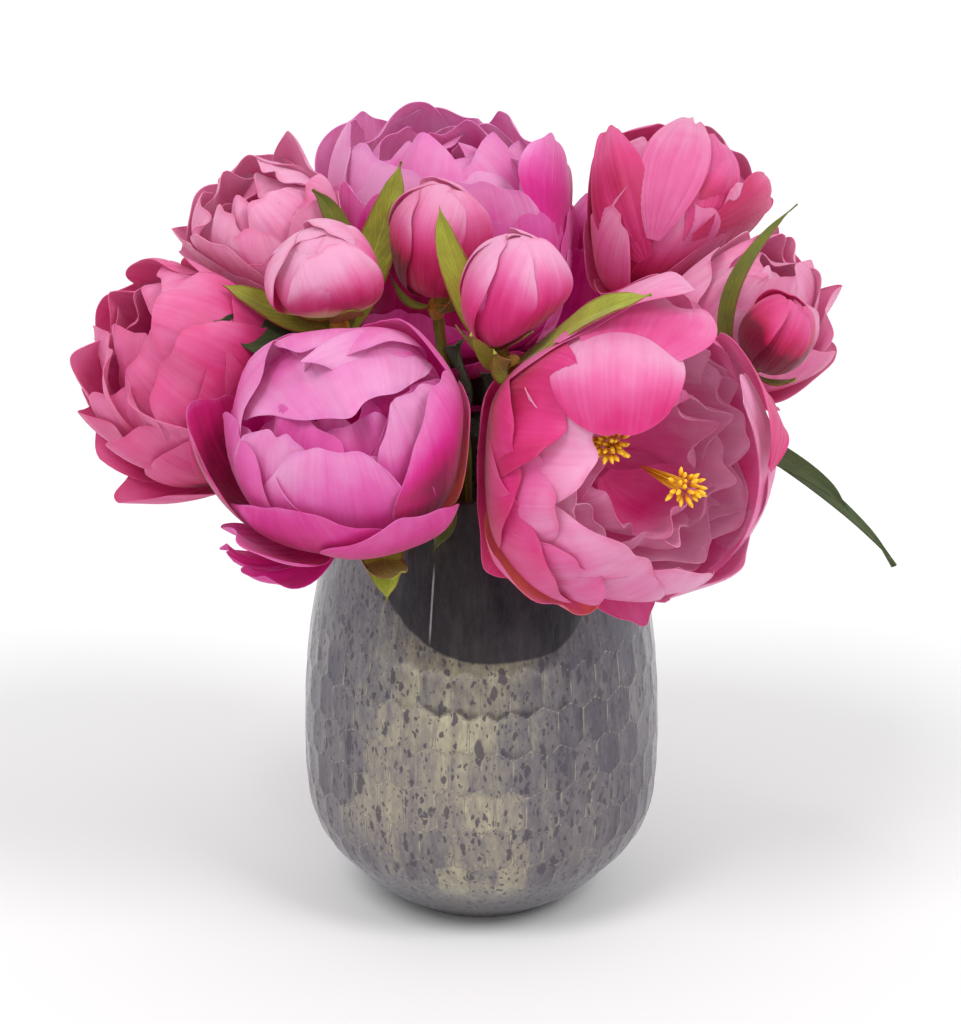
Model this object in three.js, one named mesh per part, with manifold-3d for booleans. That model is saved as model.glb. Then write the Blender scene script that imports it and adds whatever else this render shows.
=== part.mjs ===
// A bouquet of peonies in a faceted mercury-glass vase.
// Millimetres, +Z up. The origin is the middle of the vase's foot, on the table.
// The front of the bouquet looks towards -Y.
import * as THREE from 'three';
import { mergeVertices } from 'three/addons/utils/BufferGeometryUtils.js';
import Module from 'manifold-3d';

const wasm = await Module();
wasm.setup();
const { Manifold, Mesh } = wasm;

// ---------- driving dimensions ----------
const CLEARANCE = 0.3; // between one piece and the next
const SAME_FACE = 0.05; // faces flatter than this together become one
const SAME_CORNER = 5e-3; // corners nearer than this become one
const RAD = Math.PI / 180;

const VASE = {
  height: 188,
  // outer radius at heights from the foot to the rim
  heights: [0, 3, 9, 18, 30, 45, 65, 90, 115, 140, 165, 188],
  radii: [32, 35.7, 44, 53, 64, 70.5, 72.6, 72.4, 70.3, 66, 60.5, 54.5],
  wall: 3.6,
  floor: 5,
  facetsAround: 36,
  facetRows: 6,
  facetsFrom: 24,
  facetsTo: 123,
  facetPeak: 3.4, // rise of each facet's pointed ends
  dish: 1.5, // depth of each facet's hollow
  insideSides: 16,
};

const WATER_LEVEL = 112;

const STEM = {
  radius: 2.5,
  sides: 5,
  steps: 7,
  mouthScale: 0.52, // a stem's distance from the axis at the rim, as a share of its head's
  footScale: 0.62, // and at its foot, as a share of the one at the rim
  foot: VASE.floor + 0.6,
  straight: 10, // length below the calyx that points along the head's axis
};
// where stems pass the rim, and the height that one bent over it aims for
const MOUTH = { height: 186, reach: 39, over: 224 };

const LARGE_PETAL = { thickness: 1.1, across: 3, along: 3 };
const SMALL_PETAL = { thickness: 1.1, across: 2, along: 3 };
const INNER_PETAL = { thickness: 1.1, across: 2, along: 2 };
const CORE_DEPTH = 0.84; // a head's core ends this share of its radius below its centre
// the core's turned outline, as radius and height in shares of the head's radius
const CORE_OUTLINE = [[0, -CORE_DEPTH], [0.32, -0.74], [0.46, -0.4], [0.4, 0], [0, 0.26]];
const CORE_SIDES = 6;
const ROOT_BREADTH = 0.14; // a petal's breadth where it starts, as a share of its full breadth
const BROAD_BY = 0.74; // and how far along it reaches its full breadth
const SINK = 0.26; // how far a petal's root sinks under the ball, as a share of its size
const ROUNDING = 0.16; // how much shorter a petal is at its sides than in its middle
const RIPPLE_TURN = 4.2; // a petal's ripple from its middle to one side, in radians
const VIEW_TILT = 20; // degrees by which the front view looks down
const SEPAL = { thickness: 1.0, across: 1, along: 2 };
const LEAF = { thickness: 1.0, across: 2, along: 3 };
const SQUEEZE = 12; // depth over which a petal is pressed flat by its neighbour
const WALL_ROOM = 0.8; // from a petal's middle surface to the plane it is pressed against

// The heads: centre and radius in mm, the way each looks as azimuth (0 = front, 90 = right) and
// elevation above level, in degrees, and how much longer than its breadth it is (`stretch`).
const HEADS = {
  a: { at: [-50, -80, 224], radius: 48, look: [-20, 72], kind: 'cup' },
  b: { at: [52.5, -74, 215], radius: 57, look: [36, 12], kind: 'open', large: true },
  c: { at: [-108, -22, 233], radius: 46, look: [-66, 36], kind: 'ruffled' },
  d: { at: [-80, 2, 273], radius: 37, look: [-40, 62], kind: 'ruffled' },
  e: { at: [-14, 34, 277], radius: 57, look: [-10, 80], kind: 'high' },
  f: { at: [74, 24, 279], radius: 39, look: [38, 60], kind: 'pointed' },
  g: { at: [98, 4, 249], radius: 37, look: [55, 50], kind: 'ruffled' },
  h: { at: [-54, 64, 238], radius: 51, look: [-150, 30], kind: 'full' },
  i: { at: [54, 66, 234], radius: 51, look: [150, 28], kind: 'full' },
  p: { at: [-59, -48, 276], radius: 23.5, look: [-20, 60], kind: 'bud' },
  q: { at: [-17, -22, 283], radius: 22, look: [5, 80], kind: 'bud', stretch: 1.18 },
  s: { at: [12.5, -60, 272], radius: 22, look: [8, 78], kind: 'bud', stretch: 1.25 },
  k: { at: [112, -40, 251], radius: 15.5, look: [60, 60], kind: 'bud', stretch: 1.2 },
};

// Petal rings of each kind of head, outermost first. Lengths are shares of the head's radius and
// angles are in degrees: `from` and `to` are measured at the head's centre from its base, `width`
// is half the petal's breadth, `cup` over 1 is flatter than the ball, `flare` lifts the tip away
// from it, and `roll` tucks one long edge under the next petal.
const RINGS = {
  cup: [
    { count: 5, turn: 8, size: 1.0, from: 20, to: 114, width: 0.72, cup: 1.0, flare: 0, roll: 0.14, wave: 0.03 },
    { count: 3, turn: 44, size: 0.8, from: 24, to: 138, width: 0.66, cup: 1.1, flare: 0, roll: 0.16, wave: 0.03, inner: true },
  ],
  open: [
    { count: 5, turn: 30, size: 1.0, from: 20, to: 112, width: 0.74, cup: 1.0, flare: 0, roll: 0.14, wave: 0.03 },
    { count: 4, turn: 62, size: 0.72, from: 24, to: 116, width: 0.42, cup: 1.3, flare: 0.1, roll: 0.1, wave: 0.05, inner: true },
  ],
  full: [
    { count: 4, turn: 20, size: 1.02, from: 20, to: 122, width: 0.84, cup: 1.0, flare: 0.04, roll: 0.14, wave: 0.05 },
    { count: 3, turn: 56, size: 0.8, from: 26, to: 136, width: 0.6, cup: 1.1, flare: 0.04, roll: 0.1, wave: 0.03, inner: true },
  ],
  ruffled: [
    { count: 4, turn: 20, size: 1.0, from: 20, to: 122, width: 0.86, cup: 1.0, flare: 0.07, roll: 0.12, wave: 0.05 },
    { count: 3, turn: 56, size: 0.84, from: 24, to: 150, width: 0.62, cup: 1.1, flare: 0.05, roll: 0.12, wave: 0.03, inner: true },
  ],
  high: [
    { count: 4, turn: 80, size: 1.0, from: 20, to: 120, width: 0.84, cup: 1.0, flare: 0, roll: 0.12, wave: 0.05 },
    { count: 3, turn: 20, size: 0.86, from: 22, to: 140, width: 0.66, cup: 1.1, flare: 0.04, roll: 0.12, wave: 0.05, inner: true },
  ],
  pointed: [
    { count: 4, turn: 10, size: 1.0, from: 20, to: 128, width: 0.86, cup: 1.0, flare: 0.1, roll: 0.12, wave: 0.03, point: 0.35 },
    { count: 3, turn: 46, size: 0.84, from: 24, to: 150, width: 0.6, cup: 1.1, flare: 0.05, roll: 0.12, wave: 0.03, point: 0.3, inner: true },
  ],
  bud: [
    { count: 3, turn: 25, size: 0.98, from: 20, to: 150, width: 1.0, cup: 1.0, flare: 0, roll: 0.12, wave: 0 },
  ],
};

// Single petals that stand apart from the rings of one head. `side` is the way round the head,
// 0 towards the viewer and the floor, 90 to the right, 180 up and back, about the head's own way
// or about the `look` given here.
const SINGLE_PETALS = {
  a: [
    { side: 275, size: 1.1, from: 22, to: 112, width: 0.8, cup: 1.2, flare: 0.16, roll: 0, wave: 0.05 },
    { side: 35, size: 1.09, from: 22, to: 84, width: 0.72, cup: 1.05, flare: 0, roll: 0.05, wave: 0.03 },
    { side: 208, size: 0.88, from: 22, to: 214, width: 0.8, cup: 1.05, flare: 0, roll: 0, wave: 0.05 },
    { side: 307, size: 1.32, from: 10, to: 58, width: 0.28, cup: 1.05, flare: 0, roll: 0, wave: 0, sink: 0.45 },
  ],
  b: [
    { side: 180, look: [-4, -30], size: 1.08, from: 48, to: 120, width: 0.52, cup: 0.8, flare: 0, roll: 0, wave: 0 },
    { side: 168, look: [180, -48], size: 1.3, from: 2, to: 50, width: 0.6, cup: 1.3, flare: 0, roll: 0, wave: 0, sink: 0.2 },
    { side: 166, size: 1.42, from: 22, to: 92, width: 0.46, cup: 1.1, flare: 0.06, roll: 0, wave: 0.03 },
    { side: 20, size: 1.22, from: 22, to: 76, width: 0.34, cup: 1.05, flare: 0.06, roll: 0, wave: 0.03 },
    { side: 56, size: 1.16, from: 22, to: 82, width: 0.36, cup: 1.05, flare: 0.06, roll: 0, wave: 0.03 },
  ],
  e: [
    { side: 350, size: 1.05, from: 22, to: 124, width: 0.85, cup: 1.05, flare: 0, roll: 0, wave: 0.02 },
    { side: 92, size: 1.2, from: 22, to: 112, width: 0.5, cup: 1.05, flare: 0.04, roll: 0, wave: 0.03 },
  ],
};

// Sepals, bracts and leaves that grow from one head's stem. `back` is how far below the calyx the
// root sits, `via` and `tip` are points in space, `width` is half the blade's breadth, `fold` the
// V of its midrib and `face` the way its upper face looks.
const BLADES = {
  a: [
    { back: 3, via: [-36, -84, 180], tip: [-36, -92, 163], width: 9, fold: 0.15, face: [0, -1, 0.2] },
    { back: 12, via: [-8, -74, 200], tip: [-18, -84, 180], width: 8, fold: 0.5, face: [0.4, -1, 0.3] },
  ],
  p: [
    { back: 2, via: [-38, -22, 288], tip: [-31, -16, 315], width: 7.5, fold: 0.2, face: [0, -1, 0.1] },
    { back: 2, via: [-48, -24, 292], tip: [-65, -24, 306], width: 6, fold: 0.2, face: [0, -1, 0.3] },
    { back: 1, via: [-80, -46, 264], tip: [-99, -44, 274], width: 7, fold: 0.2, face: [0, -0.7, 1] },
    { back: 8, via: [-84, -48, 254], tip: [-102, -56, 262], width: 12, fold: 0.15, face: [0, -0.8, 1] },
  ],
  s: [
    { back: 1, via: [-12, -56, 280], tip: [-16, -52, 307], width: 7, fold: 0.2, face: [-0.2, -1, 0.1] },
    { back: 1, via: [36, -96, 278], tip: [62, -100, 287], width: 7, fold: 0.25, face: [0, -0.6, 1] },
  ],
  k: [
    { back: 6, via: [84, -40, 272], tip: [121, -30, 302], width: 3.4, fold: 0.3, face: [-0.3, -1, 0.6] },
  ],
  e: [
    { back: 26, via: [2, -8, 212], tip: [12, -34, 236], width: 13, fold: 0.15, face: [0, -1, 0.5] },
    { back: 22, via: [-12, -6, 222], tip: [-8, -40, 250], width: 12, fold: 0.15, face: [-0.2, -1, 0.5] },
  ],
  g: [
    { back: 22, via: [134, -6, 192], tip: [167, -10, 146], width: 8.5, fold: 0.25, face: [0.5, -0.5, 1] },
    { back: 20, via: [122, -12, 196], tip: [145, -20, 171], width: 7, fold: 0.25, face: [0.3, -0.6, 1] },
  ],
  d: [
    { back: 10, via: [-110, 40, 250], tip: [-128, 52, 238], width: 10, fold: 0.2, face: [-0.6, 0, 1] },
  ],
  f: [
    { back: 8, via: [96, 60, 262], tip: [122, 76, 250], width: 10, fold: 0.2, face: [0.6, 0, 1] },
  ],
  h: [
    { back: 14, via: [-8, 84, 200], tip: [-6, 116, 186], width: 12, fold: 0.2, face: [0, 0.6, 1] },
  ],
  i: [
    { back: 14, via: [92, 92, 196], tip: [112, 104, 184], width: 12, fold: 0.2, face: [0, 0.6, 1] },
  ],
};

// Tufts of stamens in the open front bloom: where each tuft's middle is and how many anthers show.
const STAMENS = {
  upper: { at: [47, -114, 234], anthers: 12, spread: 46 },
  lower: { at: [76, -113, 216], anthers: 9, spread: 42 },
};
const ANTHER = { length: 11, radius: 1.5 };

// ---------- materials ----------
const finish = (color, roughness, metalness) => new THREE.MeshStandardMaterial({ color, roughness, metalness });
const MERCURY_GLASS = finish(0x8d8680, 0.3, 0.75);
const CLEAR_WATER = finish(0xbfd0d4, 0.05, 0);
const GREEN = finish(0x5d6b25, 0.6, 0);
const STAMEN_YELLOW = finish(0xf0ab14, 0.6, 0);
const PETAL_COLOURS = {
  a: 0xd9489c, b: 0xe56aa4, c: 0xe07aa6, d: 0xe48fb4, e: 0xd25cb0, f: 0xd95f8b, g: 0xd870a4,
  h: 0xe07aa6, i: 0xd9559f, p: 0xe88bb5, q: 0xd94a78, s: 0xe878ae, k: 0xdc5a8c,
};

// ---------- solids ----------
function toSolid(geometry, sameCorner = 1e-4) {
  const bare = new THREE.BufferGeometry();
  bare.setAttribute('position', geometry.getAttribute('position'));
  bare.setIndex(geometry.getIndex());
  const merged = mergeVertices(bare, sameCorner);
  const index = merged.getIndex().array;
  const triVerts = [];
  for (let i = 0; i < index.length; i += 3) {
    const [a, b, c] = [index[i], index[i + 1], index[i + 2]];
    if (a !== b && b !== c && c !== a) triVerts.push(a, b, c);
  }
  return new Manifold(new Mesh({
    numProp: 3,
    vertProperties: new Float32Array(merged.getAttribute('position').array),
    triVerts: new Uint32Array(triVerts),
  }));
}

function toGeometry(solid) {
  const { vertProperties, triVerts } = solid.getMesh();
  const geometry = new THREE.BufferGeometry();
  geometry.setAttribute('position', new THREE.BufferAttribute(new Float32Array(vertProperties), 3));
  geometry.setIndex(new THREE.BufferAttribute(new Uint32Array(triVerts), 1));
  return geometry;
}

// The largest body of a solid: a sealed hollow is filled by it and a loose scrap is dropped, also
// one that hangs on by less than the distance at which corners count as one.
function largest(solid) {
  const bodies = toSolid(toGeometry(solid.simplify(SAME_FACE)), SAME_CORNER).decompose();
  return bodies.reduce((best, body) => (body.volume() > best.volume() ? body : best));
}

function toMesh(name, solid, material) {
  const geometry = toGeometry(solid);
  geometry.computeVertexNormals();
  const mesh = new THREE.Mesh(geometry, material);
  mesh.name = name;
  return mesh;
}

function boxesMeet(one, other) {
  const [a, b] = [one.boundingBox(), other.boundingBox()];
  return [0, 1, 2].every((k) => a.min[k] < b.max[k] && b.min[k] < a.max[k]);
}

function cutBy(solid, tools) {
  const near = tools.filter((tool) => boxesMeet(solid, tool));
  return near.length ? solid.subtract(Manifold.union(near)) : solid;
}

// A thin closed sheet: `place(u, v)` gives its middle surface for u across (-1..1) and v along
// (0..1). Both faces share one way of splitting into triangles, so a wave never makes them cross.
function sheet(place, across, along, thickness) {
  const grid = new THREE.PlaneGeometry(2, 1, across, along);
  const flat = grid.getAttribute('position');
  for (let i = 0; i < flat.count; i += 1) {
    flat.setXYZ(i, ...place(flat.getX(i), 0.5 - flat.getY(i)).toArray());
  }
  grid.computeVertexNormals();
  const normal = grid.getAttribute('normal');
  const count = flat.count;
  const points = new Float32Array(count * 6);
  for (let i = 0; i < count; i += 1) {
    for (let k = 0; k < 3; k += 1) {
      const middle = flat.getComponent(i, k);
      const half = (normal.getComponent(i, k) * thickness) / 2;
      points[i * 3 + k] = middle + half;
      points[(count + i) * 3 + k] = middle - half;
    }
  }
  const faces = [];
  const upper = grid.getIndex().array;
  for (let i = 0; i < upper.length; i += 3) {
    const [a, b, c] = [upper[i], upper[i + 1], upper[i + 2]];
    faces.push(a, b, c, count + a, count + c, count + b);
  }
  for (const [a, b] of borderOf(across, along)) faces.push(b, a, count + a, b, count + a, count + b);
  const geometry = new THREE.BufferGeometry();
  geometry.setAttribute('position', new THREE.BufferAttribute(points, 3));
  geometry.setIndex(faces);
  return toSolid(geometry);
}

// The grid's border as pairs of corner numbers, running the way the upper face's edges do.
function borderOf(across, along) {
  const row = across + 1;
  const ring = [];
  for (let j = 0; j < along; j += 1) ring.push(j * row);
  for (let i = 0; i < across; i += 1) ring.push(along * row + i);
  for (let j = along; j > 0; j -= 1) ring.push(j * row + across);
  for (let i = across; i > 0; i -= 1) ring.push(i);
  return ring.map((corner, i) => [corner, ring[(i + 1) % ring.length]]);
}

// A closed solid of revolution about +Z from [radius, height] pairs that start and end on the axis.
function turned(profile, sides) {
  const points = profile.map(([radius, height]) => new THREE.Vector2(radius, height));
  const lathe = new THREE.LatheGeometry(points, sides);
  lathe.rotateX(Math.PI / 2);
  return lathe;
}

function tube(curve, radius, sides, steps) {
  const section = new THREE.Shape();
  for (let i = 0; i < sides; i += 1) {
    const angle = (i / sides) * 2 * Math.PI;
    const corner = [radius * Math.cos(angle), radius * Math.sin(angle)];
    if (i === 0) section.moveTo(...corner);
    else section.lineTo(...corner);
  }
  section.closePath();
  return toSolid(new THREE.ExtrudeGeometry(section, { steps, extrudePath: curve, bevelEnabled: false }));
}

// A shape made about +Z, set with its origin at `place` and its height along `axis`.
function standing(geometry, place, axis) {
  geometry.applyQuaternion(new THREE.Quaternion().setFromUnitVectors(new THREE.Vector3(0, 0, 1), axis));
  geometry.translate(...place.toArray());
  return toSolid(geometry);
}

// ---------- the vase and its water ----------
// Smooth curve through the vase's outer radii.
function vaseRadius(height) {
  const { heights, radii } = VASE;
  const last = heights.length - 1;
  const k = Math.min(Math.max(heights.findIndex((h) => h > height) - 1, 0), last - 1);
  const span = height >= heights[last] ? last - 1 : k;
  const slope = (i) => {
    const [lo, hi] = [Math.max(i - 1, 0), Math.min(i + 1, last)];
    return (radii[hi] - radii[lo]) / (heights[hi] - heights[lo]);
  };
  const step = heights[span + 1] - heights[span];
  const t = (height - heights[span]) / step;
  const [t2, t3] = [t * t, t * t * t];
  return (2 * t3 - 3 * t2 + 1) * radii[span] + (t3 - 2 * t2 + t) * step * slope(span)
    + (3 * t2 - 2 * t3) * radii[span + 1] + (t3 - t2) * step * slope(span + 1);
}

function innerProfile(inset, top) {
  const heights = [VASE.floor, 20, 45, WATER_LEVEL, 150, VASE.height + 2];
  const profile = [[0, VASE.floor + inset]];
  for (const height of heights) {
    const level = Math.min(height === VASE.floor ? VASE.floor + inset : height, top);
    profile.push([vaseRadius(Math.min(height, VASE.height)) - VASE.wall - inset, level]);
    if (height >= top) break;
  }
  profile.push([0, profile.at(-1)[1]]);
  return profile;
}

// Columns alternate between facet middles and facet edges, and each row is set half a facet on
// from the row below, so that the dished facets close up like honeycomb.
function makeVase() {
  const pitch = (VASE.facetsTo - VASE.facetsFrom) / VASE.facetRows;
  const levels = [];
  for (let i = 0; i <= 2 * VASE.facetRows; i += 1) levels.push(VASE.facetsFrom + (i * pitch) / 2);
  const plain = [0, 3, 10];
  const collar = [145, 166, VASE.height];
  const rings = [...plain, ...levels, ...collar].map((height) => [vaseRadius(height), height]);
  const lathe = turned([[0, 0], ...rings, [0, VASE.height]], 2 * VASE.facetsAround);
  const position = lathe.getAttribute('position');
  for (let i = 0; i < position.count; i += 1) {
    const [x, y, z] = [position.getX(i), position.getY(i), position.getZ(i)];
    if (Math.hypot(x, y) < 1) continue;
    const ring = levels.findIndex((level) => Math.abs(level - z) < 1e-3);
    const column = Math.round(Math.atan2(y, x) / (Math.PI / VASE.facetsAround)) + 4 * VASE.facetsAround;
    if (ring < 0) {
      const chord = column % 2 === 0 ? 1 : Math.cos(Math.PI / VASE.facetsAround);
      position.setXYZ(i, x * chord, y * chord, z);
      continue;
    }
    const row = Math.floor(ring / 2);
    const onMiddle = (column + row) % 2 === 0;
    const dished = ring % 2 === 1 && onMiddle;
    const rise = ring % 2 === 0 ? (onMiddle ? -0.5 : 0.5) * VASE.facetPeak : 0;
    const height = z + rise;
    const half = ring % 2 === 1 ? (pitch - VASE.facetPeak) / 2 : 0; // a ridge is straight from end to end
    const radius = (vaseRadius(height - half) + vaseRadius(height + half)) / 2 - (dished ? VASE.dish : 0);
    const scale = radius / Math.hypot(x, y);
    position.setXYZ(i, x * scale, y * scale, height);
  }
  return toSolid(lathe).subtract(toSolid(turned(innerProfile(0, VASE.height + 2), VASE.insideSides)));
}

// ---------- the heads ----------
const vec = (list) => new THREE.Vector3(...list);
const VIEW_DOWN = vec([0, -Math.sin(VIEW_TILT * RAD), -Math.cos(VIEW_TILT * RAD)]);

// The way that a head or a petal looks, with its own down and right as seen from the front.
function aim([azimuth, elevation]) {
  const level = Math.cos(elevation * RAD);
  const axis = vec([Math.sin(azimuth * RAD) * level, -Math.cos(azimuth * RAD) * level, Math.sin(elevation * RAD)]);
  const down = VIEW_DOWN.clone().addScaledVector(axis, -VIEW_DOWN.dot(axis)).normalize();
  return { axis, down, right: axis.clone().cross(down) };
}

for (const head of Object.values(HEADS)) {
  head.stretch ??= 1;
  head.centre = vec(head.at);
  Object.assign(head, aim(head.look));
}

// Planes that divide the room between neighbours: between two heads, and between the lowest
// heads and the vase's rim. Each is a unit normal that points out of the head and its distance.
for (const head of Object.values(HEADS)) {
  head.walls = [];
  for (const other of Object.values(HEADS)) {
    const apart = other.centre.clone().sub(head.centre);
    const distance = apart.length();
    if (distance === 0) continue;
    const normal = apart.divideScalar(distance);
    const share = (distance ** 2 + head.radius ** 2 - other.radius ** 2) / (2 * distance);
    head.walls.push({ normal, offset: normal.dot(head.centre) + share - CLEARANCE / 2 });
  }
  const outward = vec([head.centre.x, head.centre.y, 0]).normalize();
  const rim = outward.clone().multiplyScalar(vaseRadius(VASE.height)).setZ(VASE.height);
  const normal = rim.clone().sub(head.centre).normalize();
  head.walls.push({ normal, offset: normal.dot(rim) - 2 });
}

// A head's base is just below its core, or below the wall that cuts its core short.
for (const head of Object.values(HEADS)) {
  const depths = head.walls.map(({ normal, offset }) => {
    const facing = -normal.dot(head.axis);
    return facing > 0 ? (offset - normal.dot(head.centre)) / facing : Infinity;
  });
  const depth = Math.min(CORE_DEPTH * head.radius * head.stretch, ...depths) + CLEARANCE;
  head.base = head.centre.clone().addScaledVector(head.axis, -depth);
}

function pressBack(point, walls) {
  for (const { normal, offset } of walls) {
    const past = normal.dot(point) - offset + WALL_ROOM + SQUEEZE;
    if (past > 0) point.addScaledVector(normal, -past + SQUEEZE * (1 - Math.exp(-past / SQUEEZE)));
  }
  return point;
}

function trimTo(solid, walls) {
  return walls.reduce(
    (kept, { normal, offset }) => kept.trimByPlane(normal.clone().negate().toArray(), -offset), solid);
}

// The middle surface of one petal. It starts in the head's core near the base, follows a ball
// round the head's centre and may flare off it towards the tip.
function petalSurface(head, petal) {
  const { side: turn, point: taper = 0, sink = SINK } = petal;
  const { axis, down, right } = petal.look ? aim(petal.look) : head;
  const outward = down.clone().multiplyScalar(Math.cos(turn * RAD)).addScaledVector(right, Math.sin(turn * RAD));
  const sideways = axis.clone().cross(outward);
  return (u, v) => {
    const along = v * (1 - ROUNDING * u * u * v - taper * 0.5 * Math.abs(u) * v);
    const angle = (petal.from + (petal.to - petal.from) * along) * RAD;
    const ray = outward.clone().multiplyScalar(Math.sin(angle))
      .addScaledVector(axis, -Math.cos(angle) * head.stretch);
    const broadening = Math.sin((Math.min(v / BROAD_BY, 1.2) * Math.PI) / 2);
    const breadth = petal.width * head.radius * (ROOT_BREADTH + (1 - ROOT_BREADTH) * broadening);
    const x = u * breadth * (1 - taper * v * v);
    const reach = head.radius * petal.size * (1 - sink * (1 - v) ** 2) * (1 + petal.flare * v ** 3);
    const bend = petal.cup * reach;
    const ripple = petal.wave * head.radius * v * v * Math.cos(u * RIPPLE_TURN + turn);
    const lift = bend * (Math.cos(x / bend) - 1) + petal.roll * x + ripple;
    const point = head.centre.clone()
      .addScaledVector(ray, reach + lift)
      .addScaledVector(sideways, bend * Math.sin(x / bend));
    const pressed = pressBack(point.clone(), head.walls);
    return petal.sepal ? point.lerp(pressed, Math.min(1, 2 * v)) : pressed; // a sepal's root stays in the calyx
  };
}

function petalsOf(key) {
  const petals = [];
  for (const ring of RINGS[HEADS[key].kind]) {
    for (let i = 0; i < ring.count; i += 1) {
      petals.push({ ...ring, side: ring.turn + (i * 360) / ring.count });
    }
  }
  const singles = (SINGLE_PETALS[key] ?? []).map((petal) => ({ ...petal, single: true }));
  return [...petals, ...singles];
}

// The core that the petals grow from: a pointed egg that fills the head's middle.
function coreOf(head) {
  const outline = CORE_OUTLINE.map(([radius, height]) => [radius * head.radius, height * head.radius * head.stretch]);
  return standing(turned(outline, CORE_SIDES), head.centre, head.axis);
}

function makeHead(key, obstacles) {
  const head = HEADS[key];
  const petals = petalsOf(key).map((petal) => {
    const outer = head.large && !petal.single ? LARGE_PETAL : SMALL_PETAL;
    const { across, along, thickness } = petal.inner ? INNER_PETAL : outer;
    return sheet(petalSurface(head, petal), across, along, thickness);
  });
  const whole = trimTo(Manifold.union([coreOf(head), ...petals]), head.walls);
  return largest(cutBy(whole, obstacles));
}

// ---------- stems, sepals and leaves ----------
const calyxRadius = (head) => 0.1 * head.radius + 1.6;

function stemCurve(head, grow = 0) {
  const mouth = vec([head.base.x, head.base.y, 0]).multiplyScalar(STEM.mouthScale).clampLength(0, MOUTH.reach);
  mouth.z = MOUTH.height;
  const foot = vec([mouth.x * STEM.footScale, mouth.y * STEM.footScale, STEM.foot]);
  foot.addScaledVector(foot.clone().sub(mouth).normalize(), 4 * grow);
  const top = head.base.clone().addScaledVector(head.axis, -calyxRadius(head));
  const bend = head.base.clone().addScaledVector(head.axis, -STEM.straight).lerp(mouth, 0.5);
  if (Math.hypot(head.base.x, head.base.y) > vaseRadius(VASE.height)) bend.z = Math.max(bend.z, MOUTH.over);
  const curve = new THREE.CurvePath();
  curve.add(new THREE.LineCurve3(foot, mouth));
  curve.add(new THREE.QuadraticBezierCurve3(mouth, bend, top));
  return curve;
}

// One blade on a bent midrib from root to tip, widest before its middle, folded along the rib.
function bladeSurface(root, blade, grow) {
  const [via, tip] = [vec(blade.via), vec(blade.tip)];
  tip.addScaledVector(tip.clone().sub(via).normalize(), 2 * grow);
  const rib = new THREE.QuadraticBezierCurve3(root, via, tip);
  const face = vec(blade.face).normalize();
  return (u, v) => {
    const middle = rib.getPoint(v);
    const forward = rib.getTangent(v);
    const sideways = forward.clone().cross(face).normalize();
    const up = sideways.clone().cross(forward);
    const breadth = (blade.width + grow) * (0.16 + 0.84 * Math.sin(Math.PI * v ** 0.8) ** 0.9) * (1 - 0.1 * v);
    return middle.addScaledVector(sideways, u * breadth).addScaledVector(up, blade.fold * breadth * Math.abs(u));
  };
}

// Sepals hug the underside of the head, just outside its outermost petals. The blooms that others
// hide from below have a calyx alone.
const SEPALS = {
  bud: { count: 3, to: 68, width: 0.38 },
  cup: { count: 3, to: 40, width: 0.18 },
  open: { count: 3, to: 40, width: 0.18 },
};

function makeGreens(key, grow) {
  const head = HEADS[key];
  const curve = stemCurve(head, grow);
  const parts = [tube(curve, STEM.radius + grow, STEM.sides, STEM.steps)];
  const swell = calyxRadius(head) + grow;
  const calyx = turned([[0, -3 * swell], [0.8 * swell, -2 * swell], [swell, -swell], [0, grow]], 6);
  parts.push(standing(calyx, head.base, head.axis));
  const { count = 0, to, width } = SEPALS[head.kind] ?? {};
  for (let i = 0; i < count; i += 1) {
    const sepal = {
      sepal: true, side: 30 + (i * 360) / count, size: 1.1, from: 3 - grow, to: to + 3 * grow,
      width: width + (2 * grow) / head.radius, sink: 0.14,
      cup: 1.1, flare: 0.05, roll: 0, wave: 0, point: 0.5,
    };
    parts.push(sheet(petalSurface(head, sepal), SEPAL.across, SEPAL.along, SEPAL.thickness + 2 * grow));
  }
  for (const blade of BLADES[key] ?? []) {
    const root = curve.getPointAt(1 - blade.back / curve.getLength());
    parts.push(sheet(bladeSurface(root, blade, grow), LEAF.across, LEAF.along, LEAF.thickness + 2 * grow));
  }
  return Manifold.union(parts);
}

// ---------- stamens ----------
// A tuft: a short cone that stands in the bloom's core, with spindle-shaped anthers round its top.
function makeStamens(tuft, grow) {
  const head = HEADS.b;
  const top = vec(tuft.at);
  const root = head.centre.clone().lerp(top, 0.28);
  const axis = top.clone().sub(root).normalize();
  root.addScaledVector(axis, -grow);
  const parts = [];
  const spindle = (from, to, radius) => {
    const length = from.distanceTo(to);
    const shape = turned([[0, 0], [radius, 0.6 * length], [0, length]], 3);
    return standing(shape, from, to.clone().sub(from).divideScalar(length));
  };
  const length = root.distanceTo(top);
  const cone = turned([[0, 0], [3.2 + grow, 0], [4.6 + grow, length], [0, length + 2 + grow]], 6);
  parts.push(standing(cone, root, axis));
  const sideways = axis.clone().cross(head.down).normalize();
  const upward = sideways.clone().cross(axis);
  for (let i = 0; i < tuft.anthers; i += 1) {
    const tilt = tuft.spread * Math.sqrt((i + 0.5) / tuft.anthers) * RAD;
    const turn = i * 137.5 * RAD;
    const way = axis.clone().multiplyScalar(Math.cos(tilt))
      .addScaledVector(sideways, Math.sin(tilt) * Math.cos(turn))
      .addScaledVector(upward, Math.sin(tilt) * Math.sin(turn));
    const from = top.clone().addScaledVector(axis, -4).addScaledVector(way, 2 - 2 * grow);
    parts.push(spindle(from, from.clone().addScaledVector(way, ANTHER.length + 4 * grow), ANTHER.radius + 2 * grow));
  }
  return Manifold.union(parts);
}

// ---------- putting the bouquet together ----------
const bouquet = new THREE.Group();
const gap = CLEARANCE + 0.05;

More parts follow.
